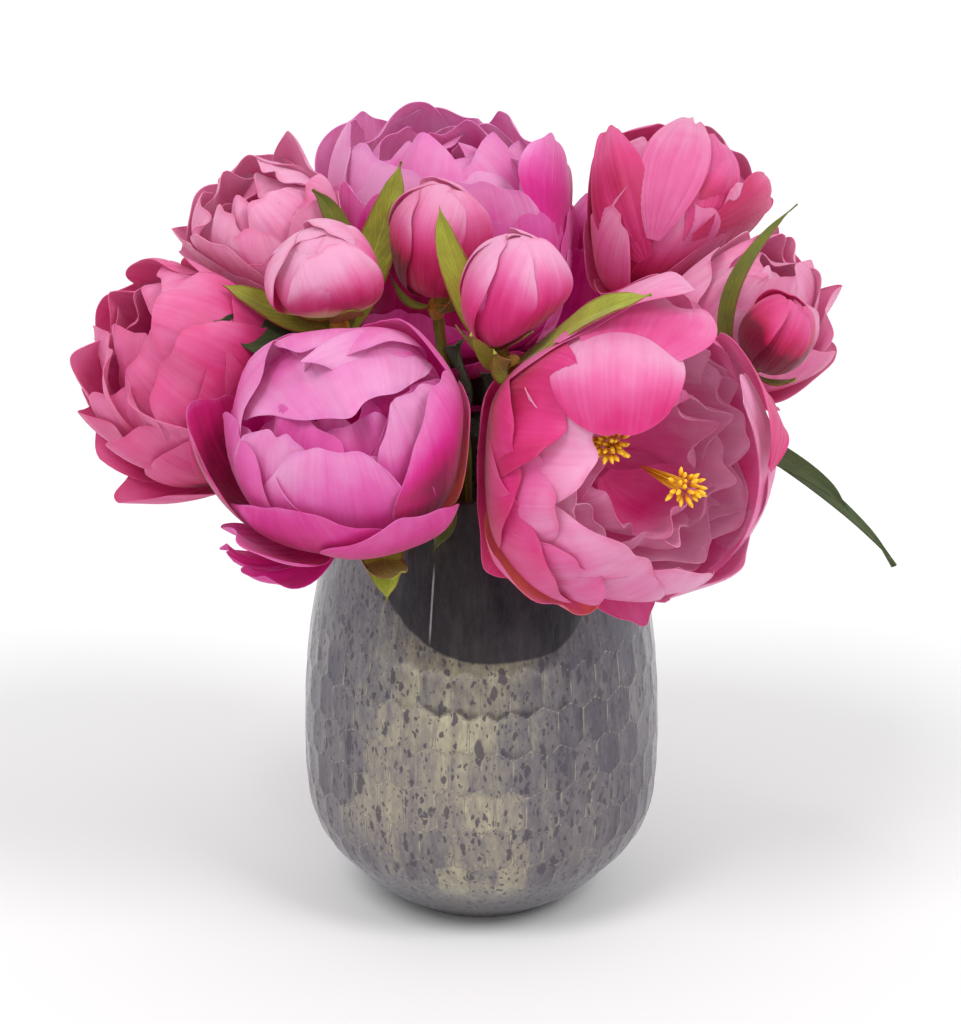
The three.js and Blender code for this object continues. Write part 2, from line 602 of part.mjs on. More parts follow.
const vase = largest(makeVase());
const greens = {};
const greensWithRoom = {};
for (const key of Object.keys(HEADS)) {
  const earlier = Object.values(greensWithRoom);
  greens[key] = largest(cutBy(makeGreens(key, 0), earlier));
  greensWithRoom[key] = makeGreens(key, gap);
}
const room = Object.values(greensWithRoom);
const tufts = Object.entries(STAMENS);
const tuftRoom = tufts.map(([, tuft]) => makeStamens(tuft, gap));

bouquet.add(toMesh('vase', vase, MERCURY_GLASS));
const water = toSolid(turned(innerProfile(CLEARANCE, WATER_LEVEL), VASE.insideSides));
bouquet.add(toMesh('water', largest(cutBy(water, room)), CLEAR_WATER));
for (const key of Object.keys(HEADS)) {
  const obstacles = key === 'b' ? [...room, ...tuftRoom] : room;
  const name = `${HEADS[key].kind === 'bud' ? 'bud' : 'bloom'}_${key}`;
  bouquet.add(toMesh(name, makeHead(key, obstacles), finish(PETAL_COLOURS[key], 0.65, 0)));
  bouquet.add(toMesh(`stem_${key}`, greens[key], GREEN));
}
tufts.forEach(([name, tuft], i) => {
  const others = tuftRoom.filter((_, k) => k < i);
  bouquet.add(toMesh(`stamens_${name}`, largest(cutBy(makeStamens(tuft, 0), [...room, ...others])), STAMEN_YELLOW));
});

export default bouquet;
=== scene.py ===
"""A bouquet of silk peonies in a faceted mercury-glass vase.

Lengths are in millimetres until a point goes into a mesh, where MM turns them into metres. The
origin is the middle of the vase's foot, +Z is up, and the front of the bouquet looks towards -Y.
"""

import math
import random
from functools import partialmethod

import bmesh
import bpy
import numpy as np
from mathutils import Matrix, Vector


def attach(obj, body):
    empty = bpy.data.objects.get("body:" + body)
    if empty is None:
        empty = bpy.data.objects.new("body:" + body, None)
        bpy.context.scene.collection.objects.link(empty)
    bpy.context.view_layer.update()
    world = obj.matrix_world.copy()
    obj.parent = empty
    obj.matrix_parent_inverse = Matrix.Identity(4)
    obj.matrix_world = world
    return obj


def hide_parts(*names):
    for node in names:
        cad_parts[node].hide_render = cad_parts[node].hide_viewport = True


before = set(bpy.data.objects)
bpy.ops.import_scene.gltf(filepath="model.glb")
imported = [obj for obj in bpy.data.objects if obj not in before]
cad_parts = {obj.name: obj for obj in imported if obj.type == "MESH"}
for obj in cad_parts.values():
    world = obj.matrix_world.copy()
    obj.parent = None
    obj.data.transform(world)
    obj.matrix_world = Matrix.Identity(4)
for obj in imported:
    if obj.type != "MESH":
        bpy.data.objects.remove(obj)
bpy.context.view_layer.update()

MM = 0.001
GOLDEN_ANGLE = math.radians(137.5)
UP = np.array([0.0, 0.0, 1.0])


def new_object(name, data):
    made = bpy.data.objects.new(name, data)
    bpy.context.scene.collection.objects.link(made)
    return made


# ---------- the view ----------
VIEW_ELEVATION = math.radians(20)
VIEW_DISTANCE = 1500
VIEW_TARGET = (-0.4, 53.2, 146.0)
SENSOR = 36.0
LENS = 125.56


def make_camera():
    data = bpy.data.cameras.new("camera")
    data.sensor_fit = "VERTICAL"
    data.sensor_height = SENSOR
    data.lens = LENS
    data.clip_end = 100
    camera = new_object("camera", data)
    back = Vector((0, -math.cos(VIEW_ELEVATION), math.sin(VIEW_ELEVATION)))
    camera.location = (Vector(VIEW_TARGET) + back * VIEW_DISTANCE) * MM
    camera.rotation_euler = (-back).to_track_quat("-Z", "Y").to_euler()
    bpy.context.scene.camera = camera


make_camera()


# ---------- shader expressions ----------
class Value:
    """A shader socket that takes part in Python expressions: each operator adds its Math node."""

    def __init__(self, finish, socket):
        self.finish = finish
        self.socket = socket

    def math(self, operation, *others):
        return self.finish.node("Math", {"operation": operation}, dict(enumerate((self, *others))))

    def __rsub__(self, other):
        return (self * -1) + other

    def step(self, start, end):
        """0 before start, 1 after end and a smooth rise between them."""
        limits = {"Value": self, "From Min": start, "From Max": end}
        return self.finish.node("MapRange", {"interpolation_type": "SMOOTHSTEP"}, limits)


OPERATIONS = {
    "__add__": "ADD", "__radd__": "ADD", "__sub__": "SUBTRACT", "__mul__": "MULTIPLY",
    "__truediv__": "DIVIDE", "__gt__": "GREATER_THAN", "__lt__": "LESS_THAN",
    "power": "POWER", "larger": "MAXIMUM", "smaller": "MINIMUM",
}
for name, operation in OPERATIONS.items():
    setattr(Value, name, partialmethod(Value.math, operation))


class Finish:
    """A node tree being built, of a material or of the world."""

    def __init__(self, owner):
        owner.use_nodes = True
        self.tree = owner.node_tree

    def node(self, kind, settings=None, inputs=None, output=0):
        """Adds a node: its settings first, then the values or links of its sockets."""
        made = self.tree.nodes.new("ShaderNode" + kind)
        for name, value in (settings or {}).items():
            if name == "stops":
                self.set_stops(made.color_ramp, value)
            else:
                setattr(made, name, value)
        for name, value in (inputs or {}).items():
            self.feed(made.inputs[name], value)
        return Value(self, made.outputs[output])

    @staticmethod
    def set_stops(ramp, stops):
        while len(ramp.elements) < len(stops):
            ramp.elements.new(1.0)
        for element, (position, colour) in zip(ramp.elements, stops):
            element.position = position
            element.color = colour

    def feed(self, socket, value):
        if isinstance(value, Value):
            self.tree.links.new(value.socket, socket)
        else:
            socket.default_value = value

    def mix(self, share, first, second):
        """Colour between two others."""
        return self.node("Mix", {"data_type": "RGBA"}, {0: share, 6: first, 7: second}, output=2)

    def ramp(self, value, *stops):
        return self.node("ValToRGB", {"stops": stops}, {"Fac": value})

    def squashed(self, vector, z, shift=0.0):
        return self.node("Mapping", {}, {"Vector": vector, "Location": (shift,) * 3, "Scale": (1, 1, z)})

    def noise(self, vector, scale, detail=2.0, roughness=0.5, output=0):
        inputs = {"Vector": vector, "Scale": scale, "Detail": detail, "Roughness": roughness}
        return self.node("TexNoise", {}, inputs, output)

    def split(self, vector):
        """The three numbers of a vector or a colour."""
        made = self.tree.nodes.new("ShaderNodeSeparateXYZ")
        self.tree.links.new(vector.socket, made.inputs[0])
        return [Value(self, socket) for socket in made.outputs]

    def joined(self, x, y, z):
        return self.node("CombineXYZ", {}, {0: x, 1: y, 2: z})

    def bump(self, height, strength, distance):
        return self.node("Bump", {}, {"Height": height, "Strength": strength, "Distance": distance})


def rgb(red, green, blue):
    """A colour given the way screens show it, 0 to 255, as linear light."""
    def linear(level):
        level /= 255
        return level / 12.92 if level <= 0.04045 else ((level + 0.055) / 1.055) ** 2.4
    return (linear(red), linear(green), linear(blue), 1.0)


class Surface(Finish):
    """A material whose varying values feed the principled shader, with the fixed ones set on it."""

    def __init__(self, name, **fixed):
        self.material = bpy.data.materials.new(name)
        super().__init__(self.material)
        self.shader = self.tree.nodes["Principled BSDF"]
        self.paint(**fixed)

    def paint(self, **values):
        for socket, value in values.items():
            self.feed(self.shader.inputs[socket.replace("_", " ")], value)
        return self.material

    def place(self):
        return self.node("TexCoord", output=3)

    def sheet_place(self):
        """Across and along a petal or a leaf, each from 0 to 1."""
        return self.split(self.node("UVMap", {"uv_map": "sheet"}))[:2]

    def dye(self):
        """What the mesh stores at each corner: the dye's depth and the sheet's own draw."""
        return self.split(self.node("Attribute", {"attribute_name": "dye"}, output=1))[:2]


# ---------- finishes ----------
def silk_dye(edge, *stops):
    """A silk's dye: the tint of its frayed edge, then its colours from the palest to the darkest."""
    return {"edge": rgb(*edge), "stops": [rgb(*stop) for stop in stops]}


DYES = {
    "magenta": silk_dye(
        (176, 92, 154), (198, 130, 172), (192, 78, 146), (184, 24, 120), (158, 0, 84), (100, 0, 48)),
    "rose": silk_dye(
        (184, 62, 110), (200, 134, 166), (194, 82, 136), (184, 32, 102), (158, 0, 64), (100, 0, 38)),
    "pale": silk_dye(
        (182, 62, 106), (200, 136, 166), (194, 94, 138), (184, 46, 106), (156, 8, 70), (100, 0, 42)),
    "coral": silk_dye(
        (180, 62, 100), (196, 128, 158), (190, 82, 132), (180, 42, 100), (154, 6, 62), (98, 0, 34)),
}
DYE_PLACES = (0.0, 0.3, 0.6, 0.85, 1.0)
STAIN = rgb(226, 116, 78)
UNRIPE = rgb(214, 206, 150)
# A petal's draw lies from 0 to PLAIN_DRAWS, or in a band above: unripe cream at its foot, or stained.
PLAIN_DRAWS, UNRIPE_FROM, STAINED_FROM = 0.85, 0.86, 0.9


def silk(name):
    """Dyed silk: faint threads and pleats along the petal, blotches of dye and stained edges, and a faint
    glow in its own colour, painted light that lifts the shade in its folds.
    """
    dye = DYES[name]
    made = Surface(
        f"petals_{name}", Specular_IOR_Level=0.3, Sheen_Weight=0.12, Sheen_Roughness=0.5,
        Subsurface_Weight=0.2, Subsurface_Radius=(1.0, 0.3, 0.45), Subsurface_Scale=0.003,
        Emission_Strength=0.19)
    across, along = made.sheet_place()
    depth, draw = made.dye()
    place = made.place()
    threads = made.noise(made.joined(across * 40, along * 2.2, draw * 37), 1.0, 3.0, 0.55)
    pleats = made.noise(made.joined(across * 9, along * 1.1, draw * 53), 1.0, 2.0)
    blotch = made.noise(place, 42.0, 3.0, 0.55)
    weave = made.noise(place, 1400.0, 1.0)
    tone = depth + (threads - 0.5) * 0.16 + (pleats - 0.5) * 0.26 + (blotch - 0.5) * 0.5
    colour = made.ramp(tone, *zip(DYE_PLACES, dye["stops"]))
    stained = draw.step(STAINED_FROM, STAINED_FROM + 0.02) * blotch.step(0.3, 0.7)
    colour = made.mix(stained * 0.75, colour, STAIN)
    foot = 1 - (along + (blotch - 0.5) * 0.4).step(0.12, 0.42)
    unripe = (draw > UNRIPE_FROM) * (draw < STAINED_FROM) * foot
    colour = made.mix(unripe * 0.8, colour, UNRIPE)
    border = (across * 2 - 1).math("ABSOLUTE").larger(along)
    frayed = border.step(0.965, 1.0) * made.noise(place, 110.0, 2.0).step(0.35, 0.6) * 0.5
    height = threads * 0.3 + pleats * 1.8 + weave * 0.05
    return made.paint(
        Base_Color=made.mix(frayed, colour, dye["edge"]),
        # The emission is painted light: the silk glows faintly in its own colour.
        Emission_Color=colour,
        Roughness=blotch * 0.16 + 0.48,
        Normal=made.bump(height, 0.45, 0.0014))


GREEN_PLACES = (0.0, 0.3, 0.55, 0.8, 1.0)
GREENS = (rgb(40, 56, 30), rgb(78, 90, 38), rgb(122, 122, 34), rgb(166, 172, 58), rgb(206, 128, 58))
SEPAL_EDGE = rgb(122, 44, 30)


def foliage():
    """Sepals, leaves and stems: side veins off the midrib, blotches, and brown-red margins."""
    made = Surface(
        "greens", Specular_IOR_Level=0.3, Sheen_Weight=0.1, Subsurface_Weight=0.08,
        Subsurface_Radius=(0.5, 1.0, 0.2), Subsurface_Scale=0.002)
    across, along = made.sheet_place()
    depth, draw = made.dye()
    place = made.place()
    off_rib = (across * 2 - 1).math("ABSOLUTE")
    slant = along * 11 - off_rib * 3.2 + draw * 5
    veins = slant.math("PINGPONG", 0.5).step(0.0, 0.16)
    rib = off_rib.step(0.02, 0.09)
    lines = veins.smaller(rib)
    blotch = made.noise(place, 120.0, 4.0, 0.6)
    grain = made.noise(made.joined(across * 30, along * 3, draw * 29), 1.0, 3.0)
    tone = depth + (blotch - 0.5) * 0.35 + (grain - 0.5) * 0.2 + (1 - lines) * 0.08
    colour = made.ramp(tone, *zip(GREEN_PLACES, GREENS))
    margin = (off_rib + (blotch - 0.5) * 0.5).step(0.82, 1.05)
    of_sepals = depth.step(0.25, 0.5) * (1 - depth.step(0.8, 0.95))
    return made.paint(
        Base_Color=made.mix(margin * of_sepals * 0.85, colour, SEPAL_EDGE),
        Roughness=blotch * 0.2 + 0.48,
        Normal=made.bump(lines * 0.6 + grain * 0.4, 0.5, 0.0008))


def pollen():
    """Golden stamens, darker at the root of each anther."""
    made = Surface("stamens", Specular_IOR_Level=0.3, Subsurface_Weight=0.1, Subsurface_Scale=0.001)
    _, along = made.sheet_place()
    _, draw = made.dye()
    grain = made.noise(made.place(), 1500.0, 2.0)
    tone = along + (draw - 0.5) * 0.5 + (grain - 0.5) * 0.5
    colour = made.ramp(tone, (0.0, rgb(196, 96, 40)), (0.35, rgb(226, 152, 24)), (0.8, rgb(246, 196, 48)))
    return made.paint(
        Base_Color=colour,
        Roughness=grain * 0.2 + 0.5,
        Normal=made.bump(grain, 0.4, 0.0004))


SILVERING = (
    (0.05, rgb(84, 78, 88)), (0.3, rgb(116, 110, 112)), (0.5, rgb(152, 144, 128)), (0.8, rgb(198, 190, 156)))
# Dark tones of the painted reflection on the collar's front.
PAINTED_REFLECTION_TONES = (0.4, rgb(14, 9, 20)), (0.75, rgb(48, 40, 50))
FLECK = rgb(60, 50, 62)
PALE_RIDGE = rgb(190, 182, 158)
FOOT = rgb(76, 68, 82)
GLINT = rgb(206, 204, 204)
# Angles are radians about the vase's axis from its front, right positive, and heights millimetres.
# The dark patch on the collar's front is a painted reflection: its middle, half its width, its top and its
# drop.
PATCH_MIDDLE, PATCH_HALF_TURN = 0.1, 0.95
PATCH_TOP, PATCH_DROP = 196, 71
# The silvering carries painted light, brightest this far left of the front and of the back, with painted
# shade at its sides.
PAINTED_LIGHT_TURN = 0.14  # how far left of the front and of the back the silvering is lightest
GLINT_TURN = 0.307  # how far left of the front a thin pale line runs down the glass
GLINT_FOOT, GLINT_TOP = (132.0, 140.0), (158.0, 166.0)
DARK_FOOT = (15.0, 30.0)


def mercury_glass():
    """Silvering behind clear glass: cloudy grey and gold, violet flecks and runs, a dark patch in front
    that is a painted reflection, and painted shade at the sides.
    """
    made = Surface("mercury_glass", Coat_Weight=0.5, Coat_Roughness=0.05, Specular_IOR_Level=0.5)
    place = made.place()
    ridge, draw = made.dye()
    x, y, z = made.split(place)
    height = z / MM
    clouds = made.noise(made.squashed(place, 0.5), 26.0, 4.0, 0.6)
    runs = made.noise(made.squashed(place, 0.12), 240.0, 3.0, 0.6)
    grain = made.noise(made.squashed(place, 0.4), 620.0, 2.0, 0.6)
    turn = x.math("ARCTAN2", y * -1)
    # Painted light and shade: the silvering is made paler towards the front and back and darker at the
    # sides.
    painted_side_shade = 0.2 - (turn + PAINTED_LIGHT_TURN).math("SINE").math("ABSOLUTE") * 0.56
    tone = clouds * 0.7 + (draw - 0.5) * 0.2 + (runs - 0.5) * 0.5 + (grain - 0.5) * 0.35 + painted_side_shade
    silver = made.ramp(tone, *SILVERING)
    warp = made.noise(place, 260.0, 2.0, output=1)
    wavy = made.node("VectorMath", {"operation": "MULTIPLY_ADD"}, {0: warp, 1: (0.0036,) * 3, 2: place})

    def flecks(scale, squash, size, share, shift):
        """Spots in a share of the cells of a pattern, each of its own size up to the given one."""
        spot = made.squashed(wavy, squash, shift)
        cell = made.tree.nodes.new("ShaderNodeTexVoronoi")
        made.feed(cell.inputs["Vector"], spot)
        made.feed(cell.inputs["Scale"], scale)
        distance = Value(made, cell.outputs["Distance"])
        chance, width, _ = made.split(Value(made, cell.outputs["Color"]))
        reach = (width * 0.7 + 0.3) * size
        return (1 - (distance / reach).step(0.7, 1.0)) * (chance < share)

    dark = flecks(210.0, squash=0.4, size=0.4, share=0.75, shift=0.0)
    dark = dark.larger(flecks(380.0, squash=0.5, size=0.44, share=0.8, shift=0.3))
    dark = dark.larger(flecks(130.0, squash=0.32, size=0.3, share=0.5, shift=0.7))
    dark = dark.larger(flecks(620.0, squash=0.6, size=0.42, share=0.6, shift=0.5) * 0.8)
    beside_ridge = ridge.step(0.2, 0.5) * (1 - ridge.step(0.6, 0.85)) * runs.step(0.42, 0.6)
    dark = dark.larger(beside_ridge * 0.6)
    # The painted reflection: a dark arch on the front of the collar.
    off_middle = turn - PATCH_MIDDLE
    arch = (off_middle / PATCH_HALF_TURN).power(2) + ((height - PATCH_TOP) / PATCH_DROP).power(2)
    ragged = arch + (clouds - 0.5) * 0.2 + off_middle.step(0.3, 0.9) * 0.15
    reflection_patch = (1 - ragged.step(0.96, 1.0)) * (y < 0)
    glint = 1 - (turn + GLINT_TURN).math("ABSOLUTE").step(0.003, 0.008)
    glint = glint * height.step(*GLINT_FOOT) * (1 - height.step(*GLINT_TOP))
    foot = 1 - height.step(*DARK_FOOT)
    colour = made.mix(dark * 0.85, silver, FLECK)
    # The facet ridges are made paler.
    colour = made.mix(ridge.step(0.45, 1.0) * 0.4, colour, PALE_RIDGE)
    colour = made.mix(foot * 0.75, colour, FOOT)
    # Tones of the painted reflection.
    painted_reflection = made.ramp(runs * 0.6 + clouds * 0.5, *PAINTED_REFLECTION_TONES)
    colour = made.mix(reflection_patch * 0.94, colour, painted_reflection)
    colour = made.mix(glint * 0.5, colour, GLINT)
    return made.paint(
        Base_Color=colour,
        Metallic=(0.8 - dark * 0.5) * (1 - reflection_patch * 0.8),
        Roughness=0.24 + clouds * 0.14 + dark * 0.2,
        Normal=made.bump(clouds + runs * 0.5 + grain * 0.15, 0.3, 0.002))


def still_water():
    """The vase's water: clear, with faint drifting cloudiness."""
    made = Surface("vase_water", Specular_IOR_Level=0.5, Coat_Weight=0.3)
    cloud = made.noise(made.place(), 60.0, 3.0)
    colour = made.ramp(cloud, (0.3, rgb(150, 168, 160)), (0.7, rgb(188, 204, 198)))
    return made.paint(
        Base_Color=colour,
        Roughness=cloud * 0.05 + 0.04,
        Normal=made.bump(cloud, 0.1, 0.002))


# ---------- sheets ----------
def new_mesh():
    mesh = bmesh.new()
    mesh.loops.layers.uv.new("sheet")
    mesh.verts.layers.float_color.new("dye")
    return mesh


def spread(mesh, across, along, place, tone, draw):
    """Adds a grid and moves each corner to place(u, v), with u across (-1..1) and v along (0..1)."""
    grid = bmesh.ops.create_grid(mesh, x_segments=across, y_segments=along, size=1, calc_uvs=True)
    corners = grid["verts"]
    u = np.array([corner.co.x for corner in corners])
    v = np.array([(corner.co.y + 1) / 2 for corner in corners])
    points = place(u, v) * MM
    depths = tone(u, v) if callable(tone) else np.full(len(u), tone)
    dye = mesh.verts.layers.float_color["dye"]
    for corner, point, depth in zip(corners, points, depths):
        corner.co = point
        corner[dye] = (depth, draw, 0.0, 1.0)
    return corners


def thicken(mesh, thickness):
    """Gives every sheet its other face and its rim."""
    bmesh.ops.solidify(mesh, geom=mesh.faces[:], thickness=thickness * MM)
    bmesh.ops.recalc_face_normals(mesh, faces=mesh.faces[:])


SEAM = 2e-6  # metres
SHARP = math.radians(60)


def join_seams(mesh, corners):
    """Closes round skins where their two sides meet, and turns every face outward."""
    bmesh.ops.remove_doubles(mesh, verts=corners, dist=SEAM)
    bmesh.ops.recalc_face_normals(mesh, faces=mesh.faces[:])


def finished(mesh, name, material, slot, *nodes):
    """The mesh as a piece of the bouquet that stands for the given solids."""
    for face in mesh.faces:
        face.smooth = True
    for edge in mesh.edges:
        edge.smooth = edge.calc_face_angle(0) < SHARP
    data = bpy.data.meshes.new(name)
    mesh.to_mesh(data)
    mesh.free()
    data.materials.append(material)
    piece = new_object(name, data)
    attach(piece, "root")
    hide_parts(*nodes)


def unit(vector):
    vector = np.asarray(vector, float)
    return vector / np.linalg.norm(vector)


def units(rows):
    return rows / np.linalg.norm(rows, axis=1)[:, None]


def smooth(start, end, value):
    t = np.clip((value - start) / (end - start), 0, 1)
    return t * t * (3 - 2 * t)


# ---------- the vase ----------
VASE_HEIGHT = 188
VASE_HEIGHTS = (0, 3, 9, 18, 30, 45, 65, 90, 115, 140, 165, 188)
VASE_RADII = (33, 37.4, 46.6, 55.8, 66, 71.5, 72.7, 72.4, 70.3, 66, 60.5, 54.5)
VASE_WALL = 3.6
VASE_FLOOR = 5
FACETS_AROUND = 36
FACET_ROWS = 6
FACETS_FROM, FACETS_TO = 24, 123
FACET_PEAK = 3.4
FACET_DISH = 0.5
FACET_SLOPE = 2.2  # distance over which a facet falls away from its ridge
FACET_LEAN = 0.5  # how far one side of a facet may lean out
RIDGE_WIDTH = 0.5
STEPS_AROUND = FACETS_AROUND * 12
FACE_SCATTER = (12.9898, 78.233, 43758.5453)
LEAN_SCATTER = (39.425, 11.135, 24634.6345)


def vase_radius(height):
    """Smooth curve through the vase's outer radii."""
    heights = np.array(VASE_HEIGHTS, float)
    radii = np.array(VASE_RADII, float)
    last = len(heights) - 1
    after = np.minimum(np.arange(last + 1) + 1, last)
    before = np.maximum(np.arange(last + 1) - 1, 0)
    slopes = (radii[after] - radii[before]) / (heights[after] - heights[before])
    k = np.clip(np.searchsorted(heights, height, side="right") - 1, 0, last - 1)
    step = heights[k + 1] - heights[k]
    t = (height - heights[k]) / step
    return ((2 * t**3 - 3 * t**2 + 1) * radii[k] + (t**3 - 2 * t**2 + t) * step * slopes[k]
            + (3 * t**2 - 2 * t**3) * radii[k + 1] + (t**3 - t**2) * step * slopes[k + 1])


def scattered(column, row, scatter):
    """A number from 0 to 1 for each facet that follows no pattern."""
    by_column, by_row, stretch = scatter
    return np.modf(np.abs(np.sin(column * by_column + row * by_row)) * stretch)[0]


def facet_relief(turn, height):
    """Depth of the honeycomb under the vase's skin, nearness to a ridge and each facet's own draw."""
    pitch = (FACETS_TO - FACETS_FROM) / FACET_ROWS
    column = turn / (2 * math.pi) * FACETS_AROUND
    column = column + 0.07 * np.sin(5 * turn + height / 9) + 0.05 * np.sin(11 * turn)
    level = height + 0.9 * np.sin(3 * turn + 1) + 0.6 * np.sin(8 * turn + height / 14)
    row = np.floor((level - FACETS_FROM) / pitch)

    def within(row):
        shifted = column + 0.5 * (row % 2)
        return 2 * (shifted - np.round(shifted)), np.round(shifted)

    for _ in range(2):
        side, _ = within(row)
        arch = FACET_PEAK * (0.5 - np.abs(side))
        floor_at = FACETS_FROM + row * pitch - arch
        roof_at = FACETS_FROM + (row + 1) * pitch + arch
        row = np.where(level < floor_at, row - 1, np.where(level > roof_at, row + 1, row))
    side, number = within(row)
    arch = FACET_PEAK * (0.5 - np.abs(side))
    low = level - (FACETS_FROM + row * pitch - arch)
    high = FACETS_FROM + (row + 1) * pitch + arch - level
    half_width = math.pi * vase_radius(height) / FACETS_AROUND
    inside = (row >= 0) & (row < FACET_ROWS)
    edge = np.minimum(np.minimum(low, high), (1 - np.abs(side)) * half_width)
    draw = scattered(number, row, FACE_SCATTER)
    lean = scattered(number, row, LEAN_SCATTER) - 0.5
    centre = FACETS_FROM + (row + 0.5) * pitch
    tilt = FACET_LEAN * (lean * side + (draw - 0.5) * (level - centre) / pitch)
    fall = 1 - np.exp(-np.maximum(edge, 0) / FACET_SLOPE)
    depth = np.where(inside, FACET_DISH * fall + tilt * fall, 0.0)
    ridge = np.where(inside, np.exp(-(np.maximum(edge, 0) / RIDGE_WIDTH) ** 2), 0.0)
    return depth, ridge, np.where(inside, draw, 0.5)


def make_vase():
    mesh = new_mesh()
    plain_low = np.linspace(0, FACETS_FROM - 5, 14)[1:]
    faceted = np.linspace(FACETS_FROM - 4, FACETS_TO + 5, 118)
    collar = np.linspace(FACETS_TO + 8, VASE_HEIGHT, 20)
    outside = np.concatenate([[0.0, 0.8], plain_low, faceted, collar])
    inner_levels = np.array([VASE_HEIGHT - 6, 165, 140, 110, 80, 50, 25, 9, VASE_FLOOR])
    heights = np.concatenate([[0.0], outside, [VASE_HEIGHT], inner_levels, [VASE_FLOOR]])
    radii = np.concatenate([
        [0.0], vase_radius(outside), [vase_radius(np.array([VASE_HEIGHT]))[0] - VASE_WALL],
        vase_radius(inner_levels) - VASE_WALL, [0.0]])
    last = len(heights) - 1

    def ring_at(v):
        """Which ring of corners this is, and whether it lies on the outside."""
        index = np.round(v * last).astype(int)
        return index, (index > 0) & (index <= len(outside))

    def place(u, v):
        turn = math.pi * u
        index, on_skin = ring_at(v)
        depth, _, _ = facet_relief(turn, heights[index])
        radius = np.where(on_skin, radii[index] - depth, radii[index])
        return np.stack([radius * np.sin(turn), -radius * np.cos(turn), heights[index]], axis=1)

    def tone(u, v):
        index, on_skin = ring_at(v)
        return np.where(on_skin, facet_relief(math.pi * u, heights[index])[1], 0.0)

    corners = spread(mesh, STEPS_AROUND, last, place, tone, 0.5)
    dye = mesh.verts.layers.float_color["dye"]
    turns = np.array([math.atan2(corner.co.x, -corner.co.y) for corner in corners])
    draws = facet_relief(turns, np.array([corner.co.z / MM for corner in corners]))[2]
    for corner, draw in zip(corners, draws):
        corner[dye] = (corner[dye][0], draw, 0.0, 1.0)
    join_seams(mesh, corners)
    finished(mesh, "glass_vase", mercury_glass(), "mercury_glass", "vase")


# ---------- the heads ----------
CLEARANCE = 0.3
CORE_DEPTH = 0.84  # from a head's centre down to its calyx, as a share of its radius
NEAR = 1.4  # heads closer than this many times their radii press on each other
SQUEEZE = 12  # depth over which a petal is pressed flat by its neighbour
WALL_ROOM = 0.8
RIM_ROOM = 2
RIM_RADIUS = VASE_RADII[-1]
SILK_THICKNESS = 0.32


def head_of(at, radius, look, kind, dye, stretch=1.0, deepen=0.0, slope=(0, 0), **more):
    """A bloom or a bud that looks to an azimuth (0 = front, 90 = right) and an elevation.

    `stretch` makes it taller, `deepen` darkens its dye, `slope` is the side of its rings that stands
    lower and by how much, and `draw` is one draw for all its petals.
    """
    return dict(centre=np.array(at, float), radius=radius, look=look, kind=kind, dye=dye,
                stretch=stretch, deepen=deepen, slope=slope, **more)


HEADS = {
    "a": head_of((-50, -80, 224), 48, (-20, 72), "heart", "magenta", deepen=0.06),
    "b": head_of((52.5, -74, 215), 57, (36, 12), "open", "rose"),
    "c": head_of((-108, -22, 233), 46, (-66, 36), "ruffled", "pale", deepen=0.27),
    "d": head_of((-80, 2, 273), 37, (-40, 62), "ruffled", "pale"),
    "e": head_of((-14, 34, 277), 57, (-10, 80), "high", "magenta", deepen=0.05, slope=(130, 0.13)),
    "f": head_of((74, 24, 279), 39, (38, 60), "pointed", "coral"),
    "g": head_of((98, 4, 249), 37, (55, 50), "ruffled", "pale"),
    "h": head_of((-54, 64, 238), 51, (-150, 30), "full", "magenta"),
    "i": head_of((54, 66, 234), 51, (150, 28), "cup", "magenta"),
    "p": head_of((-59, -48, 276), 23.5, (-20, 60), "bud", "pale", deepen=-0.2, draw=0.88),
    "q": head_of((-17, -22, 283), 22, (5, 80), "bud", "coral", stretch=1.18),
    "s": head_of((12.5, -60, 272), 22, (8, 78), "bud", "rose", stretch=1.25, deepen=-0.18),
    "k": head_of((112, -40, 251), 15.5, (60, 60), "bud", "coral", stretch=1.2, deepen=0.32),
}

# Lengths are shares of the head's radius and angles degrees. `side` is the way round the head: 0
# towards the viewer and the floor, 90 right, 180 up and back. `start` and `end` are measured at the
# head's centre from its base. `spread` is half the breadth, `cup` over 1 is flatter than the ball,
# `sink` draws the root in, `flare` lifts the tip, `curl` turns the last part out, `roll` tucks one
# long edge under, `point` narrows the end, `rag` and `notch` break it, and `wave`, `dent`, `frill`
# and `pleat` are ripples from broad to fine. `root` and `tip` are the dye's depth at either end and
# `pale_from` is where it changes. `look` replaces the head's own axis.
PLAIN, WIDE = (20, 16), (30, 22)  # faces across and along
PETAL = {
    "start": 22, "cup": 1.05, "sink": 0.26, "flare": 0.0, "curl": 0.0, "roll": 0.0, "point": 0.0,
    "wave": 0.03, "dent": 0.014, "frill": 0.02, "pleat": 0.0, "rag": 0.013, "notch": 0.01,
    "root": 0.85, "tip": 0.25, "pale_from": 0.4, "grid": PLAIN,
}


def ring(count, turn, size, start, end, spread, **more):
    """Like petals all round a head, the first of them `turn` degrees from side 0."""
    return dict(count=count, turn=turn, size=size, start=start, end=end, spread=spread, **more)


def single(side, size, end, spread, grid=WIDE, **more):
    """One petal placed by itself, over the rings."""
    return dict(side=side, size=size, end=end, spread=spread, grid=grid, **more)


